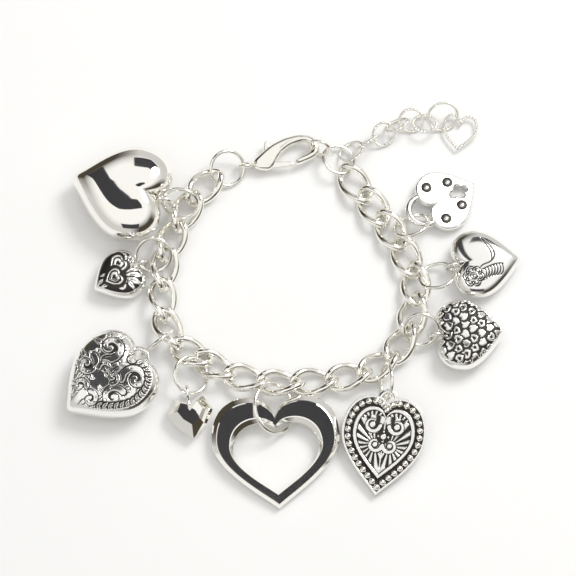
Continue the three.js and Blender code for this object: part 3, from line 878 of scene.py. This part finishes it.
# %% Little hearts
LITTLE = {"width": 12.5, "length": 12.5, "notch": 2.2, "thickness": 5.6, "fullness": 0.5}
LEAF_SHAPE = np.array([0.3, 0.8, 1.0, 0.95, 0.7, 0.3])
LEAVES = (
    # foot x, foot y, tip x, tip y, half-width
    (-0.9, 2.7, -3.9, 3.6, 0.5),
    (-0.8, 3.0, -3.2, 4.9, 0.55),
    (-0.6, 3.1, -2.0, 5.6, 0.55),
    (-0.3, 3.0, -0.7, 5.2, 0.45),
    (0.6, 1.5, 1.2, 4.9, 0.75),
    (1.4, 1.2, 3.2, 4.8, 0.8),
    (2.2, 0.9, 4.9, 3.3, 0.75),
    (3.0, 0.7, 5.3, 1.2, 0.5),
    (-0.5, -4.3, -0.1, -6.1, 0.45),
    (1.2, -3.9, 0.9, -5.6, 0.4),
    (-1.3, -3.2, -1.6, -4.4, 0.35),
)
LITTLE_CURLS = (
    # x, y, radius, start angle, turns
    (3.3, -0.9, 1.2, 120, 1.2),
    (-4.4, 2.3, 0.7, 60, 1.1),
)
PAIR = (
    # x, y, turn
    (-2.3, 0.8, 6),
    (0.4, -1.7, -4),
)
PAIR_SIZE = 2.1


def little_hearts_relief(x, y, scale):
    height = np.zeros(x.shape)
    for foot_x, foot_y, tip_x, tip_y, half in LEAVES:
        foot, tip = np.array([foot_x, foot_y]), np.array([tip_x, tip_y])
        line = foot + np.linspace(0, 1, len(LEAF_SHAPE))[:, None] * (tip - foot)
        height = laid_over(height, stroke(x, y, line, half * LEAF_SHAPE))
        vein = stroke(x, y, line[1:4], 0.08)
        height = np.minimum(height, 1 - 0.8 * ridge(vein))
    for u, v, radius, start, turns in LITTLE_CURLS:
        curl = spiral(u, v, radius, start, turns)
        height = laid_over(height, stroke(x, y, curl, np.linspace(0.4, 0.25, len(curl))))
    for u, v, lean in PAIR:
        share = heart_mark(x, y, (u, v), PAIR_SIZE, lean)
        height = laid_over(height, share / 1.05)
        sunk = np.abs(share - 0.7) < 0.1
        height = np.where(sunk | (share < 0.28), 0.0, height)
    rim = np.clip((scale - 0.86) / 0.03, 0, 1)
    return np.maximum(height, rim)


joined("little_hearts_charm",
       [puffed_heart(LITTLE, little_hearts_relief, depth=0.2, columns=260, rows=80),
        *bail("little_hearts")],
       "little_hearts", antiqued)

# %% [markdown]
# ## The scroll heart
#
# Broad leaf scrolls fill the largest engraved heart in mirrored pairs, on a bright ground with
# dark lines round each mark. A scalloped border runs down one side, and the rim stays smooth.

# %% Scrolls and leaves
SCROLL = {"width": 22, "length": 23, "notch": 3.4, "thickness": 9, "fullness": 0.45}
SCROLLS = (
    # x, y, radius, start angle, turns, half-width, leaves
    (5.0, 4.2, 3.3, 235, -1.2, 0.85, 7),
    (5.3, -2.7, 2.7, 80, 1.2, 0.75, 6),
    (2.1, -7.2, 1.8, 140, -1.1, 0.55, 4),
    (1.5, 0.2, 1.6, 310, 1.1, 0.5, 4),
)


BORDER_SHARE = 0.83
BORDER_POINTS = 44


def scroll_relief(x, y, scale):
    own = np.abs(x)
    height = np.ones(x.shape)
    for u, v, radius, start, turns, width, leaves in SCROLLS:
        for k in range(leaves):
            angle = math.radians(start + 300 * turns * k / leaves)
            way = np.array([math.cos(angle), math.sin(angle)])
            lean = np.array([way[1], -way[0]]) * math.copysign(0.5, turns)
            foot = np.array([u, v]) + radius * 0.9 * way
            leaf = bezier(foot, foot + width * 0.9 * way, foot + width * (2.0 * way + 0.5 * lean),
                          foot + width * (2.4 * way + 1.6 * lean), 6)
            height = laid_over(height, stroke(own, y, leaf, np.linspace(0.5, 0.16, 7)))
    for u, v, radius, start, turns, width, _ in SCROLLS:
        line = spiral(u, v, radius, start, turns)
        share = stroke(own, y, line, np.linspace(width, 0.7 * width, len(line)))
        height = laid_over(height, share)
        centre = np.hypot(own - u, y - v) / radius
        height = np.where((centre < 0.5) & (share > 1.06), 0.0, height)
        for point, after in zip(line[3:-6:2], line[4:-5:2]):
            along = (after - point) / np.linalg.norm(after - point)
            dash = stroke(own, y, [point - 0.16 * along, point + 0.16 * along], 0.09)
            height = np.minimum(height, 1 - ridge(dash))
    border = [BORDER_SHARE * SCROLL[side] for side in ("width", "length", "notch")]
    outline = heart_outline(*border, BORDER_POINTS)
    for spot in outline[outline[:, 0] > 0][4:]:
        share = np.hypot(x - spot[0], y - spot[1])
        height = laid_over(height, share)
        height = np.where(np.abs(share - 0.6) < 0.1, 0.0, height)
    rim = np.clip((scale - 0.86) / 0.02, 0, 1)
    return np.maximum(height, rim)


joined("scroll_heart_charm",
       [puffed_heart(SCROLL, scroll_relief, depth=0.3, columns=400, rows=130),
        *bail("scroll_heart")],
       "scroll_heart", antiqued)

# %% [markdown]
# ## The rose heart
#
# A rose and its leaf are engraved on a mostly smooth heart, so here the marks are cuts: fine
# dark lines in a bright surface. The other lobe stays bare.

# %% Rose, stem and leaf
ROSE = {"width": 17, "length": 16.6, "notch": 2.4, "thickness": 6, "fullness": 0.5}


def rose_relief(x, y, scale):
    cuts = np.zeros(x.shape)
    flower = np.array([-3.9, 2.7])
    lines = [(spiral(*flower, 0.9, 40, 1.3), 0.11)]
    for k in range(6):
        angle = 60 * k + 20
        way = np.array([math.cos(math.radians(angle)), math.sin(math.radians(angle))])
        middle = flower + 1.4 * way
        t = np.radians(np.linspace(angle - 115, angle + 115, 12))
        petal = np.column_stack([np.cos(t), np.sin(t)])
        lines += [(middle + 1.15 * petal, 0.13), (middle + 0.65 * petal, 0.1)]
    foot, end = flower + [1.5, -2.4], flower + [2.4, -7.4]
    spine = bezier(foot, foot + [0.6, -1.6], end + [0.3, 1.6], end, 14)
    lines.append((spine, 0.14))
    for spot in spine[1:-1:2]:
        vein = bezier(spot, spot + [-0.7, -0.6], spot + [-2.1, -0.5], spot + [-2.8, 0.6], 8)
        lines.append((vein, 0.12))
    low, high = np.array([-0.6, -1.9]), np.array([5.6, -0.4])
    for bend in (-0.55, 0.55):
        side = np.array([0.0, bend])
        edge = bezier(low, low + [1.6, -1.6] + side, high + [-2.2, -1.6] + side, high, 14)
        lines.append((edge, 0.12))
    lines.append((bezier(foot + [0.6, 0.4], foot + [1.5, -0.4], low + [-0.6, 0.7], low, 10), 0.12))
    for line, width in lines:
        cuts = np.maximum(cuts, ridge(stroke(x, y, line, width)))
    return 1 - cuts


joined("rose_heart_charm",
       [puffed_heart(ROSE, rose_relief, depth=0.14, rows=110), *bail("rose_heart")],
       "rose_heart", antiqued)

# %% [markdown]
# ## The faceted heart
#
# Flat facets meet in a point on both faces, like a cut stone. Few flat faces say it best, and
# sharp edges keep each one a mirror of its own.

# %% Facets
FACETED = {"width": 11, "length": 10.5, "notch": 1.6, "corners": 8, "half": 2.8}
FACET_ROWS = (
    # share of the outline, height
    (0.55, -2.4),
    (1, -0.2),
    (1, 0.2),
    (0.55, 2.4),
)


def faceted():
    outline = heart_outline(FACETED["width"], FACETED["length"], FACETED["notch"], FACETED["corners"])
    rows = [np.array([[0, 0, -FACETED["half"]]])]
    for scale, z in FACET_ROWS:
        rows.append(np.column_stack([scale * outline, np.full(len(outline), z)]))
    rows.append(np.array([[0, 0, FACETED["half"]]]))
    return solid_rows(rows)


joined("faceted_heart_charm", [faceted(), *bail("faceted_heart")],
       "faceted_heart", plate_silver, sharp_angle=12)

# %% [markdown]
# ## The open heart
#
# A flat band with bevelled edges, polished like a mirror. Its section is a small polygon with
# eased corners, swept between the outer outline and the inner one.

# %% The bevelled band
OUTER = {"width": 30.5, "length": 27, "notch": 4.9}
OPENING = {"width": 20.2, "length": 16.9, "notch": 1.5}
OPENING_Y = -2.15
BAND = (
    # share of the way across the band, height; from the outer foot over the top to the inner
    (0.00, -1.0), (0.0, 0.1), (0.02, 0.25), (0.22, 1.09), (0.26, 1.18), (0.81, 1.18),
    (0.85, 1.1), (0.98, 0.4), (1.0, 0.25), (1.0, -1.0), (0.97, -1.15), (0.9, -1.2),
    (0.1, -1.2), (0.03, -1.15),
)


def open_band(columns=360):
    outer = heart_outline(**OUTER, count=columns)
    inner = heart_outline(**OPENING, count=columns) + [0, OPENING_Y]
    loops = []
    for share, z in BAND:
        flat = outer + share * (inner - outer)
        loops.append(np.column_stack([flat, np.full(columns, z)]))
    return closed_grid(np.stack(loops, axis=1), flipped=True)


joined("open_heart_charm", [open_band()], "open_heart", plate_silver,
       sharp_angle=10)

# %% [markdown]
# ## The beaded heart
#
# A flat plate with a smooth rim, a row of round beads on a black ground, and a raised inner
# heart with ribbed fans and ball scrolls. The plate is a relief like the puffed hearts', but
# flat, so its heights are added to a level floor. A flat ring is cast on at the cleft.

# %% The plate and the inner heart
BEADED = {"width": 20, "length": 23.5, "notch": 1.8}
FANS = (
    # ball x, ball y, ball radius, fan reach
    (2.9, 3.1, 0.75, 4.0),
    (1.75, -1.6, 0.62, 7.0),
)
INNER = {"width": 14.8, "length": 17.2, "notch": 2.4}
INNER_LIFT = 0.1
FLOWER_Y = 0.45
PLATE_FLOOR = 0.75
PLATE_BACK = -1.0


def plate_relief(x, y, scale):
    """Height in mm over the plate's floor, and tone."""
    own = np.abs(x)
    inner = share_of(heart_outline(**INNER, count=240), x, y - INNER_LIFT)
    rim = np.clip((scale - 0.93) / 0.015, 0, 1)
    detail = np.ones(x.shape)
    for u, v, _, reach in FANS:
        away = np.hypot(own - u, y - v)
        around = np.arctan2(y - v, own - u)
        ribs = np.clip(0.75 + 1.1 * np.cos(around * 18), 0, 1)
        detail = np.where((away < reach) & (own > 0.15), ribs, detail)
    for u, v, radius, _ in FANS:
        hook = spiral(u, v, radius + 1.1, 185, 0.8, radius + 0.3)
        detail = laid_over(detail, stroke(own, y, hook, np.linspace(0.5, 0.3, len(hook))))
        detail = laid_over(detail, np.hypot(own - u, y - v) / radius)
    detail = np.where(np.hypot(x, y - FLOWER_Y) < 1.7, 0.0, detail)
    detail = laid_over(detail, np.hypot(x, y - FLOWER_Y) / 0.72)
    for k in range(4):
        spot = (1.2 * math.cos(k * math.pi / 2), FLOWER_Y + 1.2 * math.sin(k * math.pi / 2))
        detail = laid_over(detail, np.hypot(x - spot[0], y - spot[1]) / 0.26)
    groove = ridge(np.abs(inner - 0.86) / 0.02)
    inside = np.where(inner < 0.85, detail, 1 - groove) * np.clip((1.0 - inner) / 0.02, 0, 1)
    tone = np.maximum(rim, inside)
    height = 0.25 * rim + np.where(inner < 1.0, 0.35, 0) + 0.35 * inside
    height += 0.25 * ridge(np.abs(inner - 0.93) / 0.07)
    return height, tone


def beaded_plate(columns=400, rows=150):
    outline = heart_outline(**BEADED, count=columns)
    scales = 1 - (np.arange(rows) / rows)
    x = scales[:, None] * outline[None, :, 0]
    y = scales[:, None] * outline[None, :, 1]
    height, tone = plate_relief(x, y, np.repeat(scales[:, None], columns, axis=1))
    height[0] = 0
    top = [np.column_stack([x[r], y[r], PLATE_FLOOR + height[r]]) for r in range(rows)]
    under = []
    for share, z in ((0.96, PLATE_BACK), (1, PLATE_BACK + 0.25)):
        under.append(np.column_stack([share * outline, np.full(columns, z)]))
    bottom = np.array([[0, 0, PLATE_BACK]])
    middle = np.array([[0, 0, PLATE_FLOOR + height[-1].mean()]])
    stack = [bottom, *under, *top, middle]
    tones = np.concatenate([np.ones(1 + 2 * columns), tone.ravel(), [1]])
    return solid_rows(stack, tones)


def pierced_tab(radius=2.6, hole=1.5, thickness=1.6, ease=0.2, y=9.5, columns=64):
    """A flat ring with eased edges, cast onto the plate for its jump ring."""
    angle = np.linspace(0, 2 * math.pi, columns, endpoint=False)
    half = thickness / 2
    section = ((hole, ease - half), (hole, half - ease), (hole + ease, half), (radius - ease, half),
               (radius, half - ease), (radius, ease - half), (radius - ease, -half),
               (hole + ease, -half))
    grid = np.array([[(r * math.cos(a), y + r * math.sin(a), z) for r, z in section] for a in angle])
    return closed_grid(grid, flipped=True)


joined("beaded_heart_charm", [beaded_plate(), pierced_tab()], "beaded_heart", antiqued)

# %% [markdown]
# ## The row of beads
#
# The beads are cast with the plate, but each one is a clean ball. They could be part of the
# relief, which would need very fine rows, so a tree lays balls at even steps along a heart.

# %% The row of beads
BEAD_LINE = {"width": 16.9, "length": 20.0, "notch": 1.5}
BEAD_HEIGHT = 0.95
BEAD_ROW = {"Beads": 34, "Radius": 0.82 * MM}


def bead_tree(material):
    tree, given, node = new_tree("bead_row", {
        "Beads": "NodeSocketInt", "Radius": "NodeSocketFloat",
    })
    path = node("GeometryNodeMeshToCurve", {"Mesh": given["Geometry"]})
    spots = node("GeometryNodeResampleCurve", {"Curve": path[0], "Count": given["Beads"]})
    bead = node("GeometryNodeMeshUVSphere", {"Segments": 20, "Rings": 12, "Radius": given["Radius"]})
    smooth = node("GeometryNodeSetShadeSmooth", {"Geometry": bead[0]})
    laid = node("GeometryNodeInstanceOnPoints", {"Points": spots[0], "Instance": smooth[0]})
    finish_tree(tree, laid[0], material)
    return tree


turn, origin = frames["beaded_heart"]
bead_line = heart_outline(**BEAD_LINE, count=200)
bead_line = np.column_stack([bead_line, np.full(len(bead_line), BEAD_HEIGHT)]) @ turn + origin
beads = run_tree("beaded_heart_beads", bead_tree(plate_silver), paths_mesh([bead_line]), BEAD_ROW)
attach(beads, "bracelet")
print("beads:", triangle_count(beads), "triangles")

# %% [markdown]
# ## The padlock
#
# A flat heart with a clover keyhole cut right through: three round lobes and a slot. A filled
# flat curve takes holes and gives a rounded edge, so the plate is a curve that is made a mesh.

# %% Plate with a keyhole
def flat_plate(name, outlines, half_thickness, edge):
    """Rounded plate from closed outlines; the first is its edge and the others are holes."""
    curve = bpy.data.curves.new(name, "CURVE")
    curve.dimensions = "2D"
    curve.fill_mode = "BOTH"
    curve.extrude = half_thickness - edge
    curve.bevel_depth = edge
    curve.bevel_resolution = 3
    curve.offset = -edge
    for outline in outlines:
        spline = curve.splines.new("POLY")
        spline.points.add(len(outline) - 1)
        spline.points.foreach_set("co", np.column_stack([
            outline, np.zeros(len(outline)), np.ones(len(outline))]).ravel())
        spline.use_cyclic_u = True
    holder = bpy.data.objects.new(name, curve)
    bpy.context.scene.collection.objects.link(holder)
    evaluated = holder.evaluated_get(bpy.context.evaluated_depsgraph_get())
    mesh = bpy.data.meshes.new_from_object(evaluated)
    points = np.array([v.co[:] for v in mesh.vertices])
    faces = [list(face.vertices) for face in mesh.polygons]
    bpy.data.objects.remove(holder)
    bpy.data.meshes.remove(mesh)
    return points, faces, np.ones(len(points))


def clover_keyhole():
    """Three round lobes towards the cleft and a slot towards the tip, as one outline."""
    angle = np.radians(np.linspace(-60, 240, 60))
    lobes = 1.45 + 0.5 * np.cos(3 * (angle - math.pi / 2))
    head = np.column_stack([lobes * np.cos(angle), -3.1 + lobes * np.sin(angle)])
    slot = np.array([[-0.7, -4.6], [-0.7, -5.3], [-0.4, -5.7], [0.4, -5.7], [0.7, -5.3], [0.7, -4.6]])
    return np.vstack([head, slot])


PADLOCK = {"width": 15.5, "length": 14, "notch": 2.4}
padlock_outline = heart_outline(**PADLOCK, count=240)
plate = flat_plate("padlock_plate", [padlock_outline, clover_keyhole()[::-1]],
                   half_thickness=0.95, edge=0.45)
print("padlock plate:", len(plate[0]), "points")

# %% [markdown]
# ## Rivets and shackle
#
# Four bright rivets sit on blackened rounds, and a round shackle stands through the cleft. Each
# rivet and each round is a low button, so one function turns both.

# %% Rivets and shackle
RIVETS = ((-4.6, 2.8), (4.6, 2.8), (-3.4, -2.4), (3.4, -2.4))
ROUND_RADIUS = 1.4
RIVET_RADIUS = 0.62
SHACKLE = {"radius": 3.7, "middle": (0, 6.2, 0), "across": False, "count": 72}
SHACKLE_RADIUS = 0.85


def disc(middle, radius, low, high, tone, rise=0.0, count=40):
    """A low round button with an eased edge."""
    angle = np.linspace(0, 2 * math.pi, count, endpoint=False)
    ring = np.column_stack([np.cos(angle), np.sin(angle)])
    rows = [np.array([[*middle, low]])]
    for share, z in ((1.0, low), (1.0, high - 0.1), (0.9, high), (0.5, high + 0.8 * rise)):
        rows.append(np.column_stack([share * radius * ring + middle, np.full(count, z)]))
    rows.append(np.array([[*middle, high + rise]]))
    points, faces, _ = solid_rows(rows)
    return points, faces, np.full(len(points), tone)


parts = [plate, round_wire(circle_path(**SHACKLE), SHACKLE_RADIUS)]
for spot in RIVETS:
    parts.append(disc(spot, ROUND_RADIUS, low=0.5, high=0.99, tone=0.0))
    parts.append(disc(spot, RIVET_RADIUS, low=0.5, high=1.05, tone=1.0, rise=0.1))
joined("padlock_charm", parts, "padlock", antiqued)

# %% [markdown]
# ## The lobster clasp
#
# The clasp is a claw of rounded section with a lever that closes it. Both are outlines of a
# few corners, softened and filled like the padlock's plate. They could be swept along a curve,
# but the claw's width changes along its length, which an outline says directly.

# %% The claw
CLAW = np.array([
    (1.3, -0.8), (3.0, -1.7), (5.2, -1.9), (6.4, -0.6), (7.4, 1.2), (8.8, 2.9), (11.0, 4.3),
    (13.7, 4.9), (15.3, 4.4), (15.9, 3.0), (15.0, 1.8), (11.4, 0.3), (11.6, -1.2), (15.4, 0.1),
    (17.2, 1.2), (17.8, 3.0), (17.2, 5.0), (15.6, 6.3), (13.0, 6.8), (9.6, 6.2), (6.2, 4.8),
    (3.4, 2.7), (1.3, 0.9),
])
LEVER = np.array([
    (3.9, -1.1), (4.9, -1.5), (10.9, -1.3), (11.0, -0.1), (6.6, 0.1), (5.7, 1.1),
    (5.6, 4.2), (5.2, 5.7), (4.4, 5.5), (4.2, 3.8), (3.7, 0.6),
])
PIVOT = (4.7, -0.2, 0)
joint = frame["joints"][0]
print("the lever turns about", joint["name"])


def softened(points, rounds=3):
    """A closed outline with its corners cut again and again until it is smooth."""
    for _ in range(rounds):
        after = np.roll(points, -1, axis=0)
        points = np.stack([0.8 * points + 0.2 * after, 0.2 * points + 0.8 * after], 1).reshape(-1, 2)
    return points


claw = flat_plate("claw", [softened(CLAW)], half_thickness=1.1, edge=0.95)
lever = flat_plate("lever", [softened(LEVER, 2)], half_thickness=0.48, edge=0.2)
print("claw:", len(claw[0]), "points; lever:", len(lever[0]), "points")

# %% [markdown]
# ## The clasp in its place
#
# The joint's pivot says where the clasp is: the pin of the lever lies on it. The claw rides on
# the bracelet and the lever on its own body.

# %% Place of the clasp
HEADING = math.radians(4)
SLOPE = math.radians(-2)
EYE_LEAN = math.radians(-60)
EYE_RADIUS = 1.6
EYE_MIDDLE = [-0.6, 0, 0]
EYE_WIRE_RADIUS = 0.46

clasp_turn = np.array(Matrix.Rotation(HEADING, 3, "Z") @ Matrix.Rotation(SLOPE, 3, "Y")).T
clasp_origin = np.array(joint["pos_m"]) / MM - np.array(PIVOT) @ clasp_turn


def clasp_piece(name, parts, node, body):
    piece = one_object(name, parts, clasp_turn, clasp_origin, wire_silver)
    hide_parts(node)
    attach(piece, body)
    print(f"{name}: {triangle_count(piece)} triangles")


eye_turn = np.array(Matrix.Rotation(EYE_LEAN, 3, "X")).T
eye_path = circle_path(EYE_RADIUS, (0, 0, 0), False) @ eye_turn + EYE_MIDDLE
clasp_piece("clasp_claw", [claw, round_wire(eye_path, EYE_WIRE_RADIUS)], "clasp_body", "bracelet")
clasp_piece("clasp_gate", [lever], "clasp_lever", "lever")

# %% [markdown]
# ## The studio
#
# Silver shows only what stands round it, so the studio is part of its look. The bracelet lies on
# plain white paper, which is one flat square at the height that it rests on.

# %% Floor
FLOOR = 1.5
corners = [(-FLOOR, -FLOOR, 0), (FLOOR, -FLOOR, 0), (FLOOR, FLOOR, 0), (-FLOOR, FLOOR, 0)]
floor_mesh = bpy.data.meshes.new("floor")
floor_mesh.from_pydata(corners, [], [(0, 1, 2, 3)])
floor = bpy.data.objects.new("floor", floor_mesh)
bpy.context.scene.collection.objects.link(floor)
floor_paint, floor_shader, _ = start_material("white_paper_floor")
floor_shader.inputs["Base Color"].default_value = (0.93, 0.93, 0.925, 1)
floor_shader.inputs["Roughness"].default_value = 0.7
floor_mesh.materials.append(floor_paint)
print("floor is", 2 * FLOOR, "m wide")

# %% [markdown]
# ## Light
#
# The room is white overhead and dimmer low down, most of all at the upper left and the lower
# right, so that round wire gets a dark side. It could be built from walls, but a background
# that depends on direction does the same with nothing to place. One soft panel at the upper
# right adds the gentle shadows towards the lower left.

# %% Light
DARK_TINT = (0.07, 0.06, 0.045, 1)
BRIGHT_TINT = (1.0, 0.995, 0.98, 1)
KEY = {"place": (0.35, 0.35, 0.6), "size": 0.35, "power": 2.5}


def white_room(strength, dark_tint, bright_tint):
    """A room that is bright overhead, with its dark tint low down at two opposite corners."""
    room = bpy.data.worlds.new("white_room")
    room.use_nodes = True
    tree = room.node_tree
    way = add_node(tree, "ShaderNodeSeparateXYZ",
                   {0: add_node(tree, "ShaderNodeTexCoord")["Generated"]})
    corner = add_node(tree, "ShaderNodeMath", {0: way["X"], 1: way["Y"]}, operation="MULTIPLY")
    side = add_node(tree, "ShaderNodeMapRange", {"Value": corner[0], "From Min": 0.06,
                                                 "From Max": -0.28, "To Min": 0.38, "To Max": 1.0})
    low = add_node(tree, "ShaderNodeMapRange", {"Value": way["Z"], "From Min": 0.8,
                                                "From Max": 0.45})
    share = add_node(tree, "ShaderNodeMath", {0: side[0], 1: low[0]}, operation="MULTIPLY")
    tint = add_node(tree, "ShaderNodeMix", {"Factor": share[0], "A": bright_tint, "B": dark_tint},
                    data_type="RGBA")
    background = tree.nodes["Background"]
    tree.links.new(tint[2], background.inputs["Color"])
    background.inputs["Strength"].default_value = strength
    return room


bpy.context.scene.world = white_room(1.0, DARK_TINT, BRIGHT_TINT)
bpy.context.scene.view_settings.view_transform = "Standard"


def soft_panel(name, place, size, power):
    light = bpy.data.lights.new(name, "AREA")
    light.shape = "DISK"
    light.size = size
    light.energy = power
    lamp = bpy.data.objects.new(name, light)
    bpy.context.scene.collection.objects.link(lamp)
    lamp.location = place
    lamp.rotation_euler = (-Vector(place)).to_track_quat("-Z", "Y").to_euler()


soft_panel("key_panel", **KEY)
print("one soft panel and a white room")

# %% [markdown]
# ## Dark cards
#
# A photographer holds dark cards over polished metal, because their reflections are the crisp
# black shapes that say mirror. Three cards hang a metre up, cut so that the open heart's band
# and the plain heart's slope reflect one, and the beaded heart and the padlock don't.

# %% Dark cards
CARD_HEIGHT = 1.0
CARDS = (
    # name, shade, corners
    ("overhead_card", 0.06, ((0.3, 0.035), (0.22, 0.16), (0.05, 0.27), (-0.1, 0.3), (-0.25, 0.5),
                             (-0.8, 1.6), (-1.5, 1.3), (-0.5, 0.15), (-0.3, 0.035))),
    ("far_card", 0.08, ((-0.1, 0.68), (0.2, 0.72), (0.5, 0.62), (0.9, 1.0), (0.5, 1.5),
                        (-0.1, 1.3))),
    ("near_card", 0.08, ((-0.5, -0.9), (-0.7, -1.9), (0.6, -1.9), (0.4, -0.9))),
)


def dark_card(name, shade, corners):
    """A dark card overhead, which only reflections see."""
    mesh = bpy.data.meshes.new(name)
    mesh.from_pydata([(x, y, CARD_HEIGHT) for x, y in corners], [], [tuple(range(len(corners)))])
    card = bpy.data.objects.new(name, mesh)
    bpy.context.scene.collection.objects.link(card)
    paint, shader, _ = start_material(name + "_paint")
    shader.inputs["Base Color"].default_value = (shade, shade, 1.15 * shade, 1)
    shader.inputs["Roughness"].default_value = 1.0
    mesh.materials.append(paint)
    card.visible_camera = False
    card.visible_diffuse = False
    card.visible_shadow = False


for card in CARDS:
    dark_card(*card)
print(len(CARDS), "dark cards")
